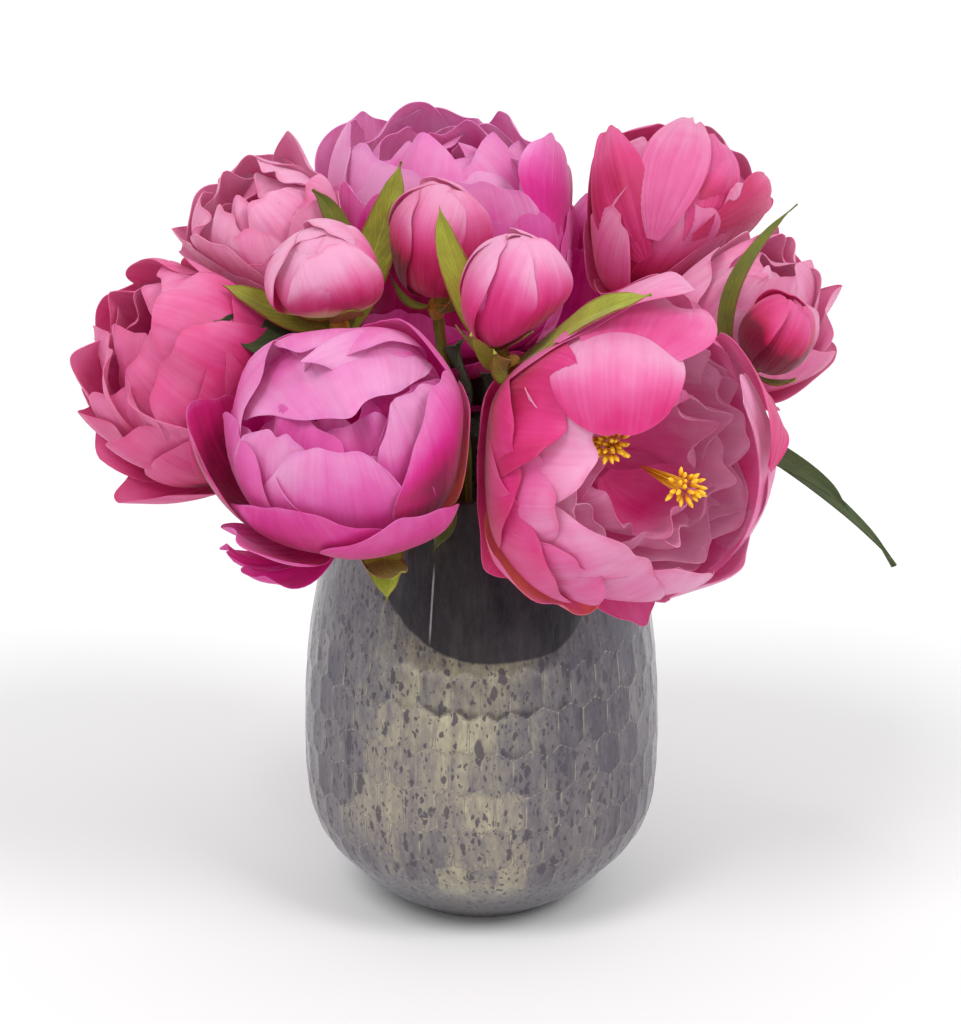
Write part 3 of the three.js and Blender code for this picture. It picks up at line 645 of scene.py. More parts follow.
# The rings of each kind of head, outermost first.
RINGS = {
    "heart": [
        ring(5, 20, 0.88, 24, 120, 0.66, cup=1.1, roll=0.14, frill=0.05, tip=0.2),
        ring(4, 64, 0.8, 24, 132, 0.56, cup=1.1, roll=0.1, frill=0.08, tip=0.2, root=0.7),
        ring(4, 30, 0.68, 28, 142, 0.5, cup=1.2, frill=0.1, root=0.7),
        ring(4, 75, 0.54, 30, 150, 0.44, cup=1.3, frill=0.12, tip=0.3, root=0.7),
    ],
    "cup": [
        ring(5, 44, 1.13, 18, 74, 0.62, cup=1.2, flare=0.1, tip=0.75, root=0.6),
        ring(5, 8, 1.0, 20, 112, 0.74, cup=1.0, roll=0.14, tip=0.5, grid=(26, 20)),
        ring(5, 46, 0.94, 22, 118, 0.66, roll=0.14, tip=0.3),
        ring(4, 20, 0.85, 24, 124, 0.62, cup=1.1, roll=0.16, frill=0.03, tip=0.15),
        ring(4, 64, 0.72, 24, 132, 0.58, cup=1.1, roll=0.14, frill=0.04, tip=0.2),
        ring(3, 30, 0.54, 28, 140, 0.56, cup=1.2, roll=0.1, frill=0.05, tip=0.4),
        ring(3, 75, 0.38, 30, 132, 0.46, cup=1.3, roll=0.1, frill=0.05, tip=0.5),
    ],
    "open": [
        ring(6, 10, 1.1, 18, 62, 0.56, cup=1.2, flare=0.08, tip=0.5, root=0.7),
        ring(6, 66, 0.9, 22, 112, 0.56, cup=1.1, roll=0.12, frill=0.04, tip=0.05, root=0.5),
        ring(6, 20, 0.84, 22, 112, 0.46, cup=1.2, flare=0.08, frill=0.05, wave=0.06, tip=0.0, root=0.4),
        ring(6, 48, 0.74, 24, 118, 0.42, cup=1.3, flare=0.1, frill=0.06, wave=0.06, tip=0.0, root=0.4),
        ring(6, 10, 0.62, 26, 124, 0.4, cup=1.3, flare=0.1, frill=0.07, tip=0.0, root=0.4),
        ring(5, 40, 0.5, 30, 136, 0.38, cup=1.4, flare=0.1, frill=0.08, tip=0.1, root=0.45),
    ],
    "full": [
        ring(5, 56, 1.14, 18, 84, 0.62, cup=1.2, flare=0.1, tip=0.45, root=0.7),
        ring(5, 20, 1.02, 20, 120, 0.7, cup=1.0, flare=0.04, roll=0.14, wave=0.04, grid=(26, 20)),
        ring(5, 56, 0.93, 22, 128, 0.64, flare=0.03, roll=0.14, tip=0.2),
        ring(4, 10, 0.8, 24, 142, 0.62, cup=1.1, flare=0.04, roll=0.16),
        ring(4, 56, 0.66, 24, 150, 0.58, cup=1.1, roll=0.14, frill=0.04, tip=0.3),
        ring(3, 10, 0.5, 28, 150, 0.56, cup=1.2, frill=0.05, tip=0.35),
    ],
    "ruffled": [
        ring(5, 56, 1.08, 18, 92, 0.74, cup=1.2, flare=0.1, frill=0.03, wave=0.06, tip=0.2, root=0.7,
            dent=0.022, grid=WIDE),
        ring(4, 20, 1.0, 20, 118, 0.92, flare=0.08, roll=0.12, wave=0.08, frill=0.03, tip=0.18, root=0.8,
            dent=0.024, grid=WIDE),
        ring(4, 66, 0.95, 22, 134, 0.84, flare=0.08, roll=0.12, wave=0.09, frill=0.035, tip=0.12, root=0.7,
            dent=0.024, grid=WIDE),
        ring(4, 10, 0.89, 24, 148, 0.72, cup=1.1, flare=0.08, roll=0.12, wave=0.09, frill=0.045, tip=0.08,
            root=0.65, dent=0.022, grid=WIDE),
        ring(4, 56, 0.82, 24, 160, 0.58, cup=1.1, flare=0.08, roll=0.1, frill=0.06, tip=0.08, root=0.65),
        ring(3, 10, 0.72, 28, 172, 0.52, cup=1.2, flare=0.06, frill=0.08, tip=0.12, root=0.65),
    ],
    "high": [
        ring(6, 44, 1.1, 18, 82, 0.6, cup=1.2, flare=0.1, tip=0.4),
        ring(5, 80, 1.0, 20, 112, 0.74, roll=0.12, wave=0.05, tip=0.2, grid=WIDE),
        ring(5, 20, 0.96, 22, 122, 0.64, roll=0.12, wave=0.05, flare=0.03, tip=0.05, root=0.6, dent=0.024,
            grid=WIDE),
        ring(5, 50, 0.87, 24, 133, 0.6, cup=1.1, wave=0.05, frill=0.024, flare=0.03, tip=0.0, root=0.5,
            dent=0.024, grid=WIDE),
        ring(5, 10, 0.78, 24, 142, 0.56, cup=1.1, wave=0.05, frill=0.03, flare=0.02, tip=0.0, root=0.45,
            dent=0.022, grid=WIDE),
        ring(4, 60, 0.68, 28, 152, 0.52, cup=1.2, wave=0.05, frill=0.035, flare=0.02, tip=0.05, root=0.45),
        ring(4, 30, 0.56, 30, 164, 0.46, cup=1.3, frill=0.04, tip=0.1, root=0.45),
    ],
    "pointed": [
        ring(5, 46, 1.08, 18, 82, 0.64, cup=1.2, flare=0.12, point=0.5, tip=0.35),
        ring(5, 10, 1.0, 20, 112, 0.74, cup=1.0, flare=0.06, roll=0.12, point=0.5, grid=(24, 20)),
        ring(5, 46, 0.93, 22, 146, 0.66, cup=1.1, flare=0.08, roll=0.12, point=0.3, tip=0.15,
            grid=(24, 20)),
        ring(4, 20, 0.84, 24, 164, 0.6, cup=1.1, flare=0.05, roll=0.12, point=0.3, tip=0.2),
        ring(3, 65, 0.7, 26, 176, 0.52, cup=1.2, flare=0.02, roll=0.1),
    ],
    "bud": [
        ring(3, 25, 1.0, 20, 166, 1.0, cup=1.0, roll=0.14, wave=0.0, frill=0.012, tip=0.12, root=0.95,
            sink=0.2, grid=(26, 20), dent=0.02),
        ring(3, 85, 0.94, 20, 176, 0.95, cup=1.0, roll=0.1, wave=0.01, sink=0.2, tip=0.1),
        ring(2, 40, 0.87, 24, 186, 0.9, cup=1.0, roll=0.06, sink=0.2, tip=0.2),
    ],
}

SINGLE_PETALS = {
    "a": [
        single(275, 1.1, 112, 0.8, cup=1.2, flare=0.16, wave=0.05, root=1.0, tip=0.7),
        single(232, 1.08, 104, 0.6, flare=0.14, wave=0.05, root=0.9, tip=0.45, grid=PLAIN),
        single(318, 1.12, 76, 0.5, flare=0.1, tip=0.4, grid=PLAIN),
        single(342, 1.05, 93, 0.82, roll=-0.04, tip=0.52),
        single(35, 1.09, 84, 0.72, roll=0.05, tip=0.45),
        single(80, 1.03, 128, 0.95, root=0.86, tip=0.2, pale_from=0.66),
        single(108, 1.12, 100, 0.6, flare=0.14, root=0.8, tip=0.55, draw=0.97, grid=PLAIN),
        single(140, 1.06, 150, 0.76, root=0.8, tip=0.4),
        single(172, 1.08, 118, 0.7, flare=0.06, root=0.7, tip=0.55, draw=0.95, grid=PLAIN),
        single(215, 1.05, 138, 0.7, curl=0.05, root=0.8, tip=0.4, grid=PLAIN),
        single(300, 0.99, 118, 0.6, frill=0.03, root=0.7, grid=PLAIN),
        single(258, 0.98, 150, 0.78, frill=0.03, root=0.6, tip=0.02),
        single(180, 0.96, 190, 0.66, frill=0.03, root=0.6, tip=0.15),
        single(208, 0.88, 222, 0.95, wave=0.05, pleat=0.01, root=0.35, tip=0.02, grid=(38, 24)),
        single(146, 0.9, 200, 0.5, wave=0.08, frill=0.08, root=0.6, tip=0.0),
        single(2, 0.98, 122, 0.66, frill=0.03, root=0.5, tip=0.05),
        single(332, 0.95, 126, 0.46, frill=0.03, root=0.5, tip=0.05, grid=PLAIN),
        single(60, 0.93, 136, 0.5, frill=0.04, root=0.6, tip=0.1, grid=PLAIN),
        single(300, 1.32, 60, 0.16, start=10, sink=0.45, root=0.7, tip=0.45, grid=PLAIN),
        single(313, 1.32, 56, 0.22, start=10, sink=0.45, root=0.7, tip=0.45, grid=PLAIN),
    ],
    "b": [
        single(272, 1.07, 104, 0.68, root=0.92, tip=0.6, pale_from=0.5),
        single(248, 1.04, 122, 0.56, root=0.95, tip=0.65, pale_from=0.5),
        single(288, 1.02, 118, 0.56, root=0.6, tip=0.2, pale_from=0.5),
        single(260, 0.99, 134, 0.6, root=0.6, tip=0.1, pale_from=0.5),
        single(306, 1.07, 107, 0.76, tip=0.5, pale_from=0.45),
        single(322, 1.04, 118, 0.42, root=0.6, tip=0.3, grid=PLAIN),
        single(328, 1.0, 136, 0.84, root=0.7, tip=0.1),
        single(4, 0.99, 134, 0.66, roll=0.05, root=0.7, tip=0.1),
        single(45, 1.0, 128, 0.66, flare=0.05, root=0.7, tip=0.2),
        single(84, 1.01, 144, 0.8, root=0.6, tip=0.05, pale_from=0.45),
        single(126, 1.1, 116, 0.76, flare=0.06, root=0.55, pale_from=0.45),
        single(150, 1.0, 126, 0.66, wave=0.06, frill=0.03, root=0.8, tip=0.3),
        # This dome petal's dye runs pale at its root, up top, and deeper at its lower tip: the pale upper
        # part is a painted highlight.
        single(183, 1.16, 94, 0.5, look=(0, -60), start=16, cup=0.56, wave=0, frill=0.005, curl=-0.16,
            dent=0, rag=0.002, root=0.1, tip=0.62, pale_from=0.6),
        single(196, 1.08, 112, 0.8, cup=1.0, flare=0.04, root=0.6, tip=0.3),
        single(214, 1.2, 46, 0.46, look=(114, -74), start=-14, cup=1.1, sink=0.05, flare=0.16, wave=0.04,
            root=0.2, tip=0.0, pale_from=0.2, point=0.25),
        single(196, 1.12, 46, 0.55, look=(180, -56), start=-8, cup=1.2, sink=0.1, root=0.35, tip=0.15,
            frill=0.03),
        single(158, 1.3, 98, 0.4, cup=1.1, flare=0.06, root=0.6, tip=0.2),
        single(156, 1.04, 80, 0.24, look=(-109, 42), start=-8, cup=0.8, sink=0.05, root=0.4, tip=0.02,
            pale_from=0.1),
        single(205, 1.15, 54, 0.34, look=(-114, -9), start=-6, sink=0.05, root=0.6, tip=0.2),
        single(20, 1.22, 76, 0.34, flare=0.06, root=0.75, tip=0.45, grid=PLAIN),
        single(56, 1.16, 82, 0.36, flare=0.06, root=0.75, tip=0.45, grid=PLAIN),
        single(336, 1.1, 86, 0.62, root=0.8, tip=0.45, draw=0.96, grid=PLAIN),
    ],
    "e": [
        single(346, 1.17, 124, 0.85, tip=0.35, pale_from=0.72, wave=0.02),
        single(38, 1.14, 112, 0.56, root=0.8, tip=0.3, pale_from=0.6, pleat=0.01),
        single(70, 1.15, 102, 0.42, flare=0.04, root=0.6, tip=0.35),
        single(308, 1.12, 116, 0.66, root=0.8, tip=0.3, wave=0.06),
        single(44, 1.14, 90, 0.5, flare=0.08, tip=0.3),
        single(68, 1.2, 84, 0.55, flare=0.08, root=1.0, tip=0.5),
        single(58, 1.2, 96, 0.44, look=(4, 74), start=10, flare=0.04, root=0.5, tip=0.2),
        single(192, 1.12, 33, 0.46, look=(-133, -10), start=-12, sink=0.05, root=0.5, tip=0.1),
        single(20, 1.2, 62, 0.5, flare=0.08, root=1.0, tip=0.85),
        single(8, 1.4, 40, 0.4, start=12, sink=0.4, root=1.0, tip=0.9),
    ],
    "f": [
        single(195, 1.1, 94, 0.5, look=(170, -10), start=-4, point=0.86, root=0.4, tip=0.06, sink=0.1),
        single(200, 1.03, 84, 0.42, look=(-166, -4), start=-4, point=0.7, root=0.5, tip=0.2, sink=0.1),
        single(218, 1.0, 84, 0.6, look=(164, -10), start=-4, point=0.45, root=0.75, sink=0.1, wave=0.05),
        single(246, 1.12, 88, 0.5, look=(-160, -3), start=-4, point=0.66, root=0.72, tip=0.45, sink=0.1),
        single(156, 1.07, 88, 0.52, look=(162, 4), start=-4, point=0.7, root=0.75, tip=0.4, sink=0.1,
            flare=0.1),
    ],
    "c": [
        single(70, 1.06, 112, 0.9),
        single(20, 1.05, 104, 0.8),
    ],
}

ROUNDNESS = 1.15  # length over half breadth of a petal's rounded end
ROOT_BREADTH = 0.14  # breadth of its root as a share of its full breadth
NOTCH_WIDTH = 0.12
LOOSE_KINDS, LOOSENESS = ("ruffled", "high", "full"), 0.09
VIEW_DOWN = np.array([0, -math.sin(VIEW_ELEVATION), -math.cos(VIEW_ELEVATION)])


def aim(look):
    """The way that a head or a petal looks, with its own down and right as seen from the front."""
    azimuth, elevation = (math.radians(angle) for angle in look)
    level = math.cos(elevation)
    axis = np.array([math.sin(azimuth) * level, -math.cos(azimuth) * level, math.sin(elevation)])
    down = unit(VIEW_DOWN - axis * VIEW_DOWN.dot(axis))
    return axis, down, np.cross(axis, down)


def set_up_heads():
    """Finds each head's own directions and its calyx, and the planes that keep it from the others."""
    for head in HEADS.values():
        head["axis"], head["down"], _ = aim(head["look"])
        depth = CORE_DEPTH * head["radius"] * head["stretch"] + CLEARANCE
        head["base"] = head["centre"] - head["axis"] * depth
    for head in HEADS.values():
        head["walls"] = []
        for other in HEADS.values():
            apart = other["centre"] - head["centre"]
            distance = np.linalg.norm(apart)
            if 0 < distance < (head["radius"] + other["radius"]) * NEAR:
                share = (distance**2 + head["radius"]**2 - other["radius"]**2) / (2 * distance)
                normal = apart / distance
                head["walls"].append((normal, normal.dot(head["centre"]) + share - CLEARANCE / 2))
        outward = unit([*head["centre"][:2], 0])
        rim = outward * RIM_RADIUS + UP * VASE_HEIGHT
        normal = unit(rim - head["centre"])
        head["walls"].append((normal, normal.dot(rim) - RIM_ROOM))


def press_back(points, walls):
    """Presses points that pass a neighbour's plane back to just before it, more softly further out."""
    for normal, offset in walls:
        past = points @ normal - offset + WALL_ROOM + SQUEEZE
        moved = np.where(past > 0, -past + SQUEEZE * (1 - np.exp(-np.maximum(past, 0) / SQUEEZE)), 0)
        points = points + moved[:, None] * normal
    return points


def petal_place(head, petal, phase):
    """Where a petal's middle surface lies: along a ball round the head's centre, and off it at the tip."""
    side = math.radians(petal["side"])
    axis, down, right = aim(petal.get("look", head["look"]))
    outward = down * math.cos(side) + right * math.sin(side)
    sideways = np.cross(axis, outward)
    radius = head["radius"]
    rounded = min(0.5, ROUNDNESS * petal["spread"] / math.radians(petal["end"] - petal["start"]))

    def place(u, v):
        late = np.clip((v - 1 + rounded) / rounded, 0, 1)
        across = u * np.sqrt(1 - late**2 / 2)
        along = np.where(late > 0, 1 - rounded + rounded * late * np.sqrt(1 - u**2 / 2), v)
        edge = np.maximum(np.abs(u), v)
        bearing = np.arctan2(across, along - 0.3)
        rag = np.sin(5 * bearing + phase) + 0.6 * np.sin(11 * bearing + 2.3 * phase)
        notch = np.exp(-(u / NOTCH_WIDTH) ** 2)
        along = along + petal["rag"] * rag * late**4 - petal["notch"] * notch * late**4
        angle = np.radians(petal["start"] + (petal["end"] - petal["start"]) * along)
        ray = outward * np.sin(angle)[:, None] - axis * (head["stretch"] * np.cos(angle))[:, None]
        widening = np.sin(np.minimum(1.35 * along, 1) * math.pi / 2)
        breadth = petal["spread"] * radius * (ROOT_BREADTH + (1 - ROOT_BREADTH) * widening)
        x = across * breadth * (1 - petal["point"] * along**2)
        reach = radius * petal["size"] * (1 - petal["sink"] * (1 - along) ** 2)
        reach = reach * (1 + petal["flare"] * along**3)
        bend = petal["cup"] * reach
        ripple = petal["wave"] * np.cos(4.2 * u + petal["side"]) * along**2
        ripple = ripple + petal["frill"] * edge**5 * (
            np.sin(4 * bearing + phase) + 0.6 * np.sin(7.5 * bearing + 1.7 * phase))
        ripple = ripple + petal["pleat"] * np.sin(16 * across + phase) * along
        ripple = ripple + petal["dent"] * np.sin(2.6 * u + 1.3 * phase) * np.sin(6 * v + phase) * along
        ripple = ripple + petal["curl"] * smooth(0.7, 1.05, along)
        lift = bend * (np.cos(x / bend) - 1) + petal["roll"] * x + ripple * radius
        points = head["centre"] + ray * (reach + lift)[:, None]
        points = points + np.outer(bend * np.sin(x / bend), sideways)
        return press_back(points, head["walls"])

    return place


def petals_of(key, draws):
    """Every petal of a head: its rings with small differences, and its single petals as given."""
    petals = []
    head = HEADS[key]
    low_side, slope = head["slope"]
    looseness = LOOSENESS if head["kind"] in LOOSE_KINDS else 0.0
    for row in RINGS[head["kind"]]:
        for i in range(row["count"]):
            one = {**PETAL, **row}
            one["side"] = row["turn"] + i * 360 / row["count"] + draws.uniform(-9, 9)
            one["size"] *= draws.uniform(0.97, 1.03)
            one["end"] += draws.uniform(-7, 7)
            one["spread"] *= draws.uniform(0.88, 1.14)
            one["size"] *= 1 - slope * max(0, math.cos(math.radians(one["side"] - low_side)))
            one["flare"] += draws.uniform(-0.02, 0.05) + looseness * draws.random()
            petals.append(one)
    return petals + [{**PETAL, **extra} for extra in SINGLE_PETALS.get(key, [])]


def make_head(key, material):
    head = HEADS[key]
    draws = random.Random(f"petals of {key}")
    mesh = new_mesh()
    for one in petals_of(key, draws):
        phase = draws.uniform(0, 6.28)
        deepen = draws.uniform(-0.07, 0.07) + head["deepen"]

        def tone(u, v):
            return one["root"] + (one["tip"] - one["root"]) * smooth(one["pale_from"], 1.0, v) + deepen

        draw = one.get("draw", head.get("draw", draws.uniform(0, PLAIN_DRAWS)))
        spread(mesh, *one["grid"], petal_place(head, one, phase), tone, draw)
    thicken(mesh, SILK_THICKNESS)
    kind = "bud" if head["kind"] == "bud" else "bloom"
    finished(mesh, f"silk_{kind}_{key}", material, f"petals_{head['dye']}", f"{kind}_{key}")


# ---------- stems, sepals and leaves ----------
STEM_RADIUS = 2.5
# Where a stem leaves the vase: its height, how far out it may be, how high the outermost stems rise
# to clear the rim, and its distance from the middle as a share of the head's.
MOUTH_HEIGHT, MOUTH_REACH, MOUTH_OVER, MOUTH_SCALE = 186, 39, 224, 0.52
FOOT_SCALE, FOOT_HEIGHT = 0.62, 5.6
LEAF_THICKNESS = 0.6
SEPAL_RULES = {"bud": {"end": 68, "spread": 0.38}, "bloom": {"end": 46, "spread": 0.2}}
SEPAL = {
    **PETAL, "size": 1.1, "start": 6, "sink": 0.14, "cup": 1.1, "flare": 0.05, "point": 0.55,
    "wave": 0, "frill": 0.01, "notch": 0, "rag": 0.01,
}


def blade(back, via, tip, wide, tone, face, fold=0.2):
    """A leaf or a long sepal whose root sits `back` below its calyx.

    `via` and `tip` are points in space, `wide` half its breadth, `tone` its green from dark leaf to
    light sepal, `face` the way its upper side looks, and `fold` the V of its midrib.
    """
    return dict(back=back, via=via, tip=tip, wide=wide, tone=tone, face=face, fold=fold)


BLADES = {
    "a": [
        blade(3, (-36, -84, 180), (-36, -92, 163), 9, 0.72, face=(0, -1, 0.2), fold=0.15),
        blade(12, (-8, -74, 200), (-18, -84, 180), 8, 0.3, face=(0.4, -1, 0.3), fold=0.5),
    ],
    "p": [
        blade(2, (-38, -22, 288), (-31, -16, 315), 8, 0.58, face=(0, -1, 0.1)),
        blade(2, (-48, -24, 292), (-65, -24, 306), 6, 0.4, face=(0, -1, 0.3)),
        blade(1, (-80, -46, 264), (-99, -44, 274), 7, 0.58, face=(0, -0.7, 1)),
        blade(8, (-84, -48, 254), (-102, -56, 262), 12, 0.05, face=(0, -0.8, 1), fold=0.15),
    ],
    "s": [
        blade(1, (-12, -56, 280), (-16, -52, 307), 7, 0.7, face=(-0.2, -1, 0.1)),
        blade(1, (36, -96, 278), (62, -100, 287), 8, 0.68, face=(0, -0.6, 1), fold=0.25),
        blade(1, (3, -66, 250), (-4, -78, 264), 4.5, 0.72, face=(-0.4, -1, 0.4)),
        blade(1, (8, -74, 246), (5, -84, 259), 5.5, 0.68, face=(0, -1, 0.4)),
        blade(1, (18, -70, 243), (27, -82, 249), 4, 0.66, face=(0.2, -1, 0.5)),
    ],
    "k": [blade(6, (84, -40, 272), (121, -30, 302), 3.4, 0.4, face=(-0.3, -1, 0.6), fold=0.3)],
    "e": [
        blade(26, (2, -8, 212), (12, -34, 236), 13, 0.03, face=(0, -1, 0.5), fold=0.15),
        blade(22, (-12, -6, 222), (-8, -40, 250), 12, 0.08, face=(-0.2, -1, 0.5), fold=0.15),
    ],
    "g": [
        blade(22, (134, -6, 192), (167, -10, 146), 5, 0.12, face=(0.5, -0.5, 1), fold=0.25),
        blade(20, (124, -14, 198), (146, -22, 174), 6.5, 0.12, face=(0.3, -0.6, 1), fold=0.25),
    ],
    "d": [blade(10, (-110, 40, 250), (-128, 52, 238), 10, 0.1, face=(-0.6, 0, 1))],
    "f": [blade(8, (96, 60, 262), (122, 76, 250), 10, 0.1, face=(0.6, 0, 1))],
    "h": [blade(14, (-8, 84, 200), (-6, 116, 186), 12, 0.1, face=(0, 0.6, 1))],
    "i": [blade(14, (92, 92, 196), (112, 104, 184), 12, 0.1, face=(0, 0.6, 1))],
}


def bent(start, via, end):
    """A bent line as a function of the share t of its length, with its direction."""
    start, via, end = (np.asarray(point, float) for point in (start, via, end))

    def at(t):
        t = np.asarray(t, float)[:, None]
        return start * (1 - t) ** 2 + via * 2 * t * (1 - t) + end * t**2

    def along(t):
        t = np.asarray(t, float)[:, None]
        return units((via - start) * (1 - t) + (end - via) * t)

    return at, along


def calyx_radius(head):
    return 0.1 * head["radius"] + 1.6


def stem_route(head):
    """Points down the middle of a stem, from its foot in the vase to its calyx."""
    mouth = np.array([*head["base"][:2], 0.0]) * MOUTH_SCALE
    reach = np.linalg.norm(mouth)
    if reach > MOUTH_REACH:
        mouth *= MOUTH_REACH / reach
    mouth[2] = MOUTH_HEIGHT
    foot = np.array([mouth[0] * FOOT_SCALE, mouth[1] * FOOT_SCALE, FOOT_HEIGHT])
    top = head["base"] - head["axis"] * calyx_radius(head)
    bend = (head["base"] - head["axis"] * 10 + mouth) / 2
    if np.linalg.norm(head["base"][:2]) > RIM_RADIUS:
        bend[2] = max(bend[2], MOUTH_OVER)
    straight = [foot + (mouth - foot) * t for t in np.linspace(0, 1, 10)[:-1]]
    over, _ = bent(mouth, bend, top)
    return np.array([*straight, *over(np.linspace(0, 1, 13))])


OFF_AXIS = (0.31, 0.2, 0.93)  # a direction that no stem runs along


def tube_place(route, radius_at):
    """A round skin about a route; u goes round it and v along it."""
    steps = np.diff(route, axis=0)
    length = np.concatenate([[0], np.cumsum(np.linalg.norm(steps, axis=1))])
    share = length / length[-1]
    ways = np.gradient(route, axis=0)

    def place(u, v):
        middle = np.stack([np.interp(v, share, route[:, k]) for k in range(3)], axis=1)
        way = units(np.stack([np.interp(v, share, ways[:, k]) for k in range(3)], axis=1))
        first = units(np.cross(way, OFF_AXIS))
        second = np.cross(way, first)
        turn = math.pi * u
        radius = radius_at(v)[:, None]
        return middle + radius * (first * np.cos(turn)[:, None] + second * np.sin(turn)[:, None])

    return place


def blade_place(root, leaf):
    """A leaf on a bent midrib, widest before its middle, folded along the rib, with a waved edge."""
    rib, way_along = bent(root, leaf["via"], leaf["tip"])
    face = unit(leaf["face"])

    def place(u, v):
        middle, forward = rib(v), way_along(v)
        sideways = units(np.cross(forward, face))
        up = np.cross(sideways, forward)
        breadth = leaf["wide"] * (0.1 + 0.9 * np.sin(math.pi * v**0.8) ** 0.9) * (1 - 0.1 * v)
        breadth = breadth * (1 - smooth(0.85, 1.0, v) * 0.85)
        wave = 0.12 * np.abs(u) * np.sin(9 * v + leaf["wide"]) * leaf["wide"]
        height = leaf["fold"] * breadth * np.abs(u) + wave
        return middle + sideways * (u * breadth)[:, None] + up * height[:, None]

    return place


def make_greens(key, material):
    """A head's stem with its calyx and sepals, and the leaves that grow from it."""
    head = HEADS[key]
    kind = "bud" if head["kind"] == "bud" else "bloom"
    draws = random.Random(f"greens of {key}")
    mesh = new_mesh()
    route = stem_route(head)
    below_calyx = np.linalg.norm(np.diff(route, axis=0), axis=1)[::-1].cumsum()
    for leaf in BLADES.get(key, []):
        root = route[::-1][1:][int(np.searchsorted(below_calyx, leaf["back"]))]
        spread(mesh, 12, 26, blade_place(root, leaf), leaf["tone"], draws.random())
    for i in range(3):
        sepal = {**SEPAL, **SEPAL_RULES[kind], "side": 30 + i * 120}
        place = petal_place(head, sepal, draws.uniform(0, 6))
        spread(mesh, 12, 16, place, draws.uniform(0.5, 0.75), draws.random())
    thicken(mesh, LEAF_THICKNESS)

    def stem_skin(v):
        return np.where((v > 0) & (v < 1), STEM_RADIUS, 0)

    swell = calyx_radius(head)

    def calyx_skin(v):
        return swell * np.sqrt(np.maximum(1 - (2 * v**1.5 - 1) ** 2, 0))

    cup = np.array([head["base"] - head["axis"] * 3 * swell * (1 - t) for t in np.linspace(0, 1, 12)])
    stem = spread(mesh, 10, 40, tube_place(route, stem_skin), 0.45, 0.5)
    calyx = spread(mesh, 14, 12, tube_place(cup, calyx_skin), 0.9, 0.5)
    join_seams(mesh, stem + calyx)
    finished(mesh, f"greens_{key}", material, "greenery", f"stem_{key}")


# ---------- stamens ----------
STAMENS = {
    "upper": {"at": (47, -114, 234), "anthers": 44, "spread": 78},
    "lower": {"at": (76, -113, 216), "anthers": 26, "spread": 70},
}
ANTHER_LENGTH, ANTHER_RADIUS = 5.6, 1.0
FILAMENT_RADIUS = 0.28
TUFT_ROOT = 0.28  # where a tuft starts, as a share of the way from the bloom's centre to its top


def anther_skin(v):
    return ANTHER_RADIUS * np.sin(math.pi * np.clip(v * 0.96 + 0.02, 0, 1)) * (v > 0) * (v < 1)


def filament_skin(v):
    return FILAMENT_RADIUS * ((v > 0) & (v < 1))


def make_stamens(name, material):
    """A tuft of anthers on thin filaments that spread from one root in the opened bloom."""
    tuft = STAMENS[name]
    head = HEADS["b"]
    draws = random.Random(f"stamens {name}")
    mesh = new_mesh()
    top = np.array(tuft["at"], float)
    root = head["centre"] + (top - head["centre"]) * TUFT_ROOT
    axis = unit(top - root)
    sideways = unit(np.cross(axis, head["down"]))
    upward = np.cross(sideways, axis)
    corners = []
    for i in range(tuft["anthers"]):
        opening = math.radians(tuft["spread"]) * math.sqrt((i + 0.5) / tuft["anthers"])
        tilt = opening * draws.uniform(0.8, 1.1)
        turn = i * GOLDEN_ANGLE + draws.uniform(-0.3, 0.3)
        way = axis * math.cos(tilt) + (sideways * math.cos(turn) + upward * math.sin(turn)) * math.sin(tilt)
        start = top - axis * 4 + way * draws.uniform(2, 6)
        lean = unit(way + np.array([draws.uniform(-0.3, 0.3) for _ in range(3)]))
        body = np.array([start + lean * ANTHER_LENGTH * t for t in np.linspace(0, 1, 6)])
        stalk = np.array([root + (start - root) * t for t in np.linspace(0, 1, 4)])
        draw = draws.random()
        corners += spread(mesh, 6, 5, tube_place(body, anther_skin), 0.5, draw)
        corners += spread(mesh, 4, 3, tube_place(stalk, filament_skin), 0.5, draw)
    join_seams(mesh, corners)
    finished(mesh, f"stamen_tuft_{name}", material, "stamens", f"stamens_{name}")


# ---------- the studio ----------
FLOOR_HALF = 40.0  # metres
KEY_LIGHT = 1.3
FILL_LIGHT = KEY_LIGHT * 0.95
SKY_LIGHT = 0.84
# Metres in front of the vase over which, in reflections, the pale floor gives way to the dark room.
ROOM_EDGE = (0.95, 1.25)
ROOM_DARK = rgb(58, 52, 62)


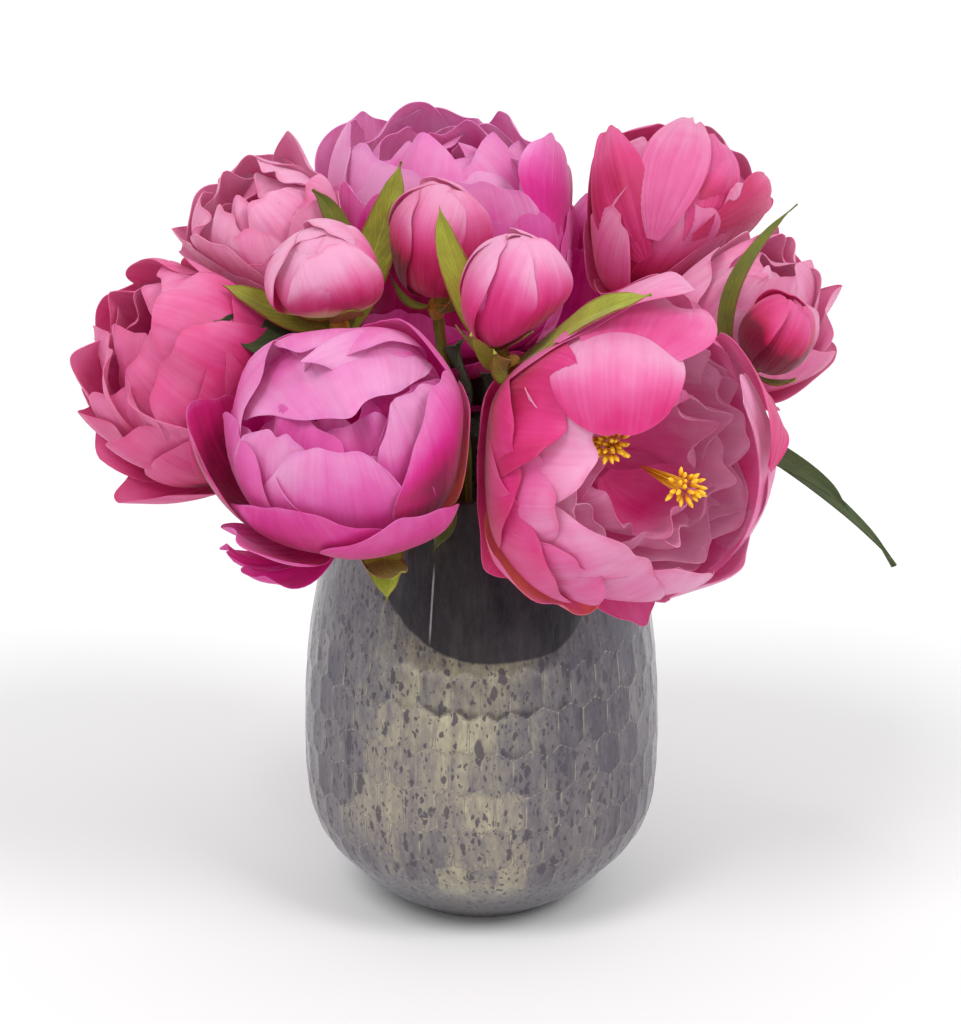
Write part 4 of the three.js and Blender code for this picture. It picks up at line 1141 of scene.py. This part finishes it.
def make_floor():
    """A pale floor, dark far in front where only reflections meet it."""
    mesh = new_mesh()
    bmesh.ops.create_grid(mesh, x_segments=1, y_segments=1, size=FLOOR_HALF)
    data = bpy.data.meshes.new("floor")
    mesh.to_mesh(data)
    mesh.free()
    made = Surface("studio_floor", Specular_IOR_Level=0.2, Roughness=0.7)
    place = made.place()
    mottle = made.noise(place, 3.0, 2.0)
    paper = made.ramp(mottle, (0.0, rgb(224, 224, 225)), (1.0, rgb(227, 227, 227)))
    forward = made.split(place)[1] * -1
    mirrored = made.node("LightPath", output=3)
    beyond = mirrored * forward.step(*ROOM_EDGE)
    data.materials.append(made.paint(Base_Color=made.mix(beyond, paper, ROOM_DARK)))
    floor = new_object("floor", data)


def make_sky():
    """Even white light all round, with a dark room in front that only reflections meet."""
    world = bpy.data.worlds.new("studio")
    bpy.context.scene.world = world
    sky = Finish(world)
    _, y, z = sky.split(sky.node("TexCoord", output=0))
    front = (y * -1).step(0.3, 0.75)
    low = 1 - z.step(0.4, 0.75)
    mirrored = sky.node("LightPath", output=3)
    colour = sky.mix(front * low * mirrored, rgb(255, 255, 255), ROOM_DARK)
    background = sky.tree.nodes["Background"]
    sky.feed(background.inputs["Color"], colour)
    background.inputs["Strength"].default_value = SKY_LIGHT


def make_sun(name, azimuth, elevation, strength, width):
    """A distant light of an apparent width, seen from the vase at an azimuth and an elevation."""
    data = bpy.data.lights.new(name, "SUN")
    data.energy = strength
    data.angle = math.radians(width)
    sun = new_object(name, data)
    azimuth, elevation = math.radians(azimuth), math.radians(elevation)
    level = math.cos(elevation)
    away = Vector((math.sin(azimuth) * level, -math.cos(azimuth) * level, math.sin(elevation)))
    sun.rotation_euler = (-away).to_track_quat("-Z", "Y").to_euler()


# ---------- putting the bouquet together ----------
bpy.context.scene.view_settings.view_transform = "Standard"
make_floor()
make_sky()
make_sun("key", azimuth=-35, elevation=52, strength=KEY_LIGHT, width=24)
make_sun("fill", azimuth=50, elevation=46, strength=FILL_LIGHT, width=22)

make_vase()
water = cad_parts["water"]
water.data.materials.clear()
water.data.materials.append(still_water())

set_up_heads()
silks = {name: silk(name) for name in DYES}
greens = foliage()
for key in HEADS:
    make_head(key, silks[HEADS[key]["dye"]])
    make_greens(key, greens)
golden = pollen()
for name in STAMENS:
    make_stamens(name, golden)
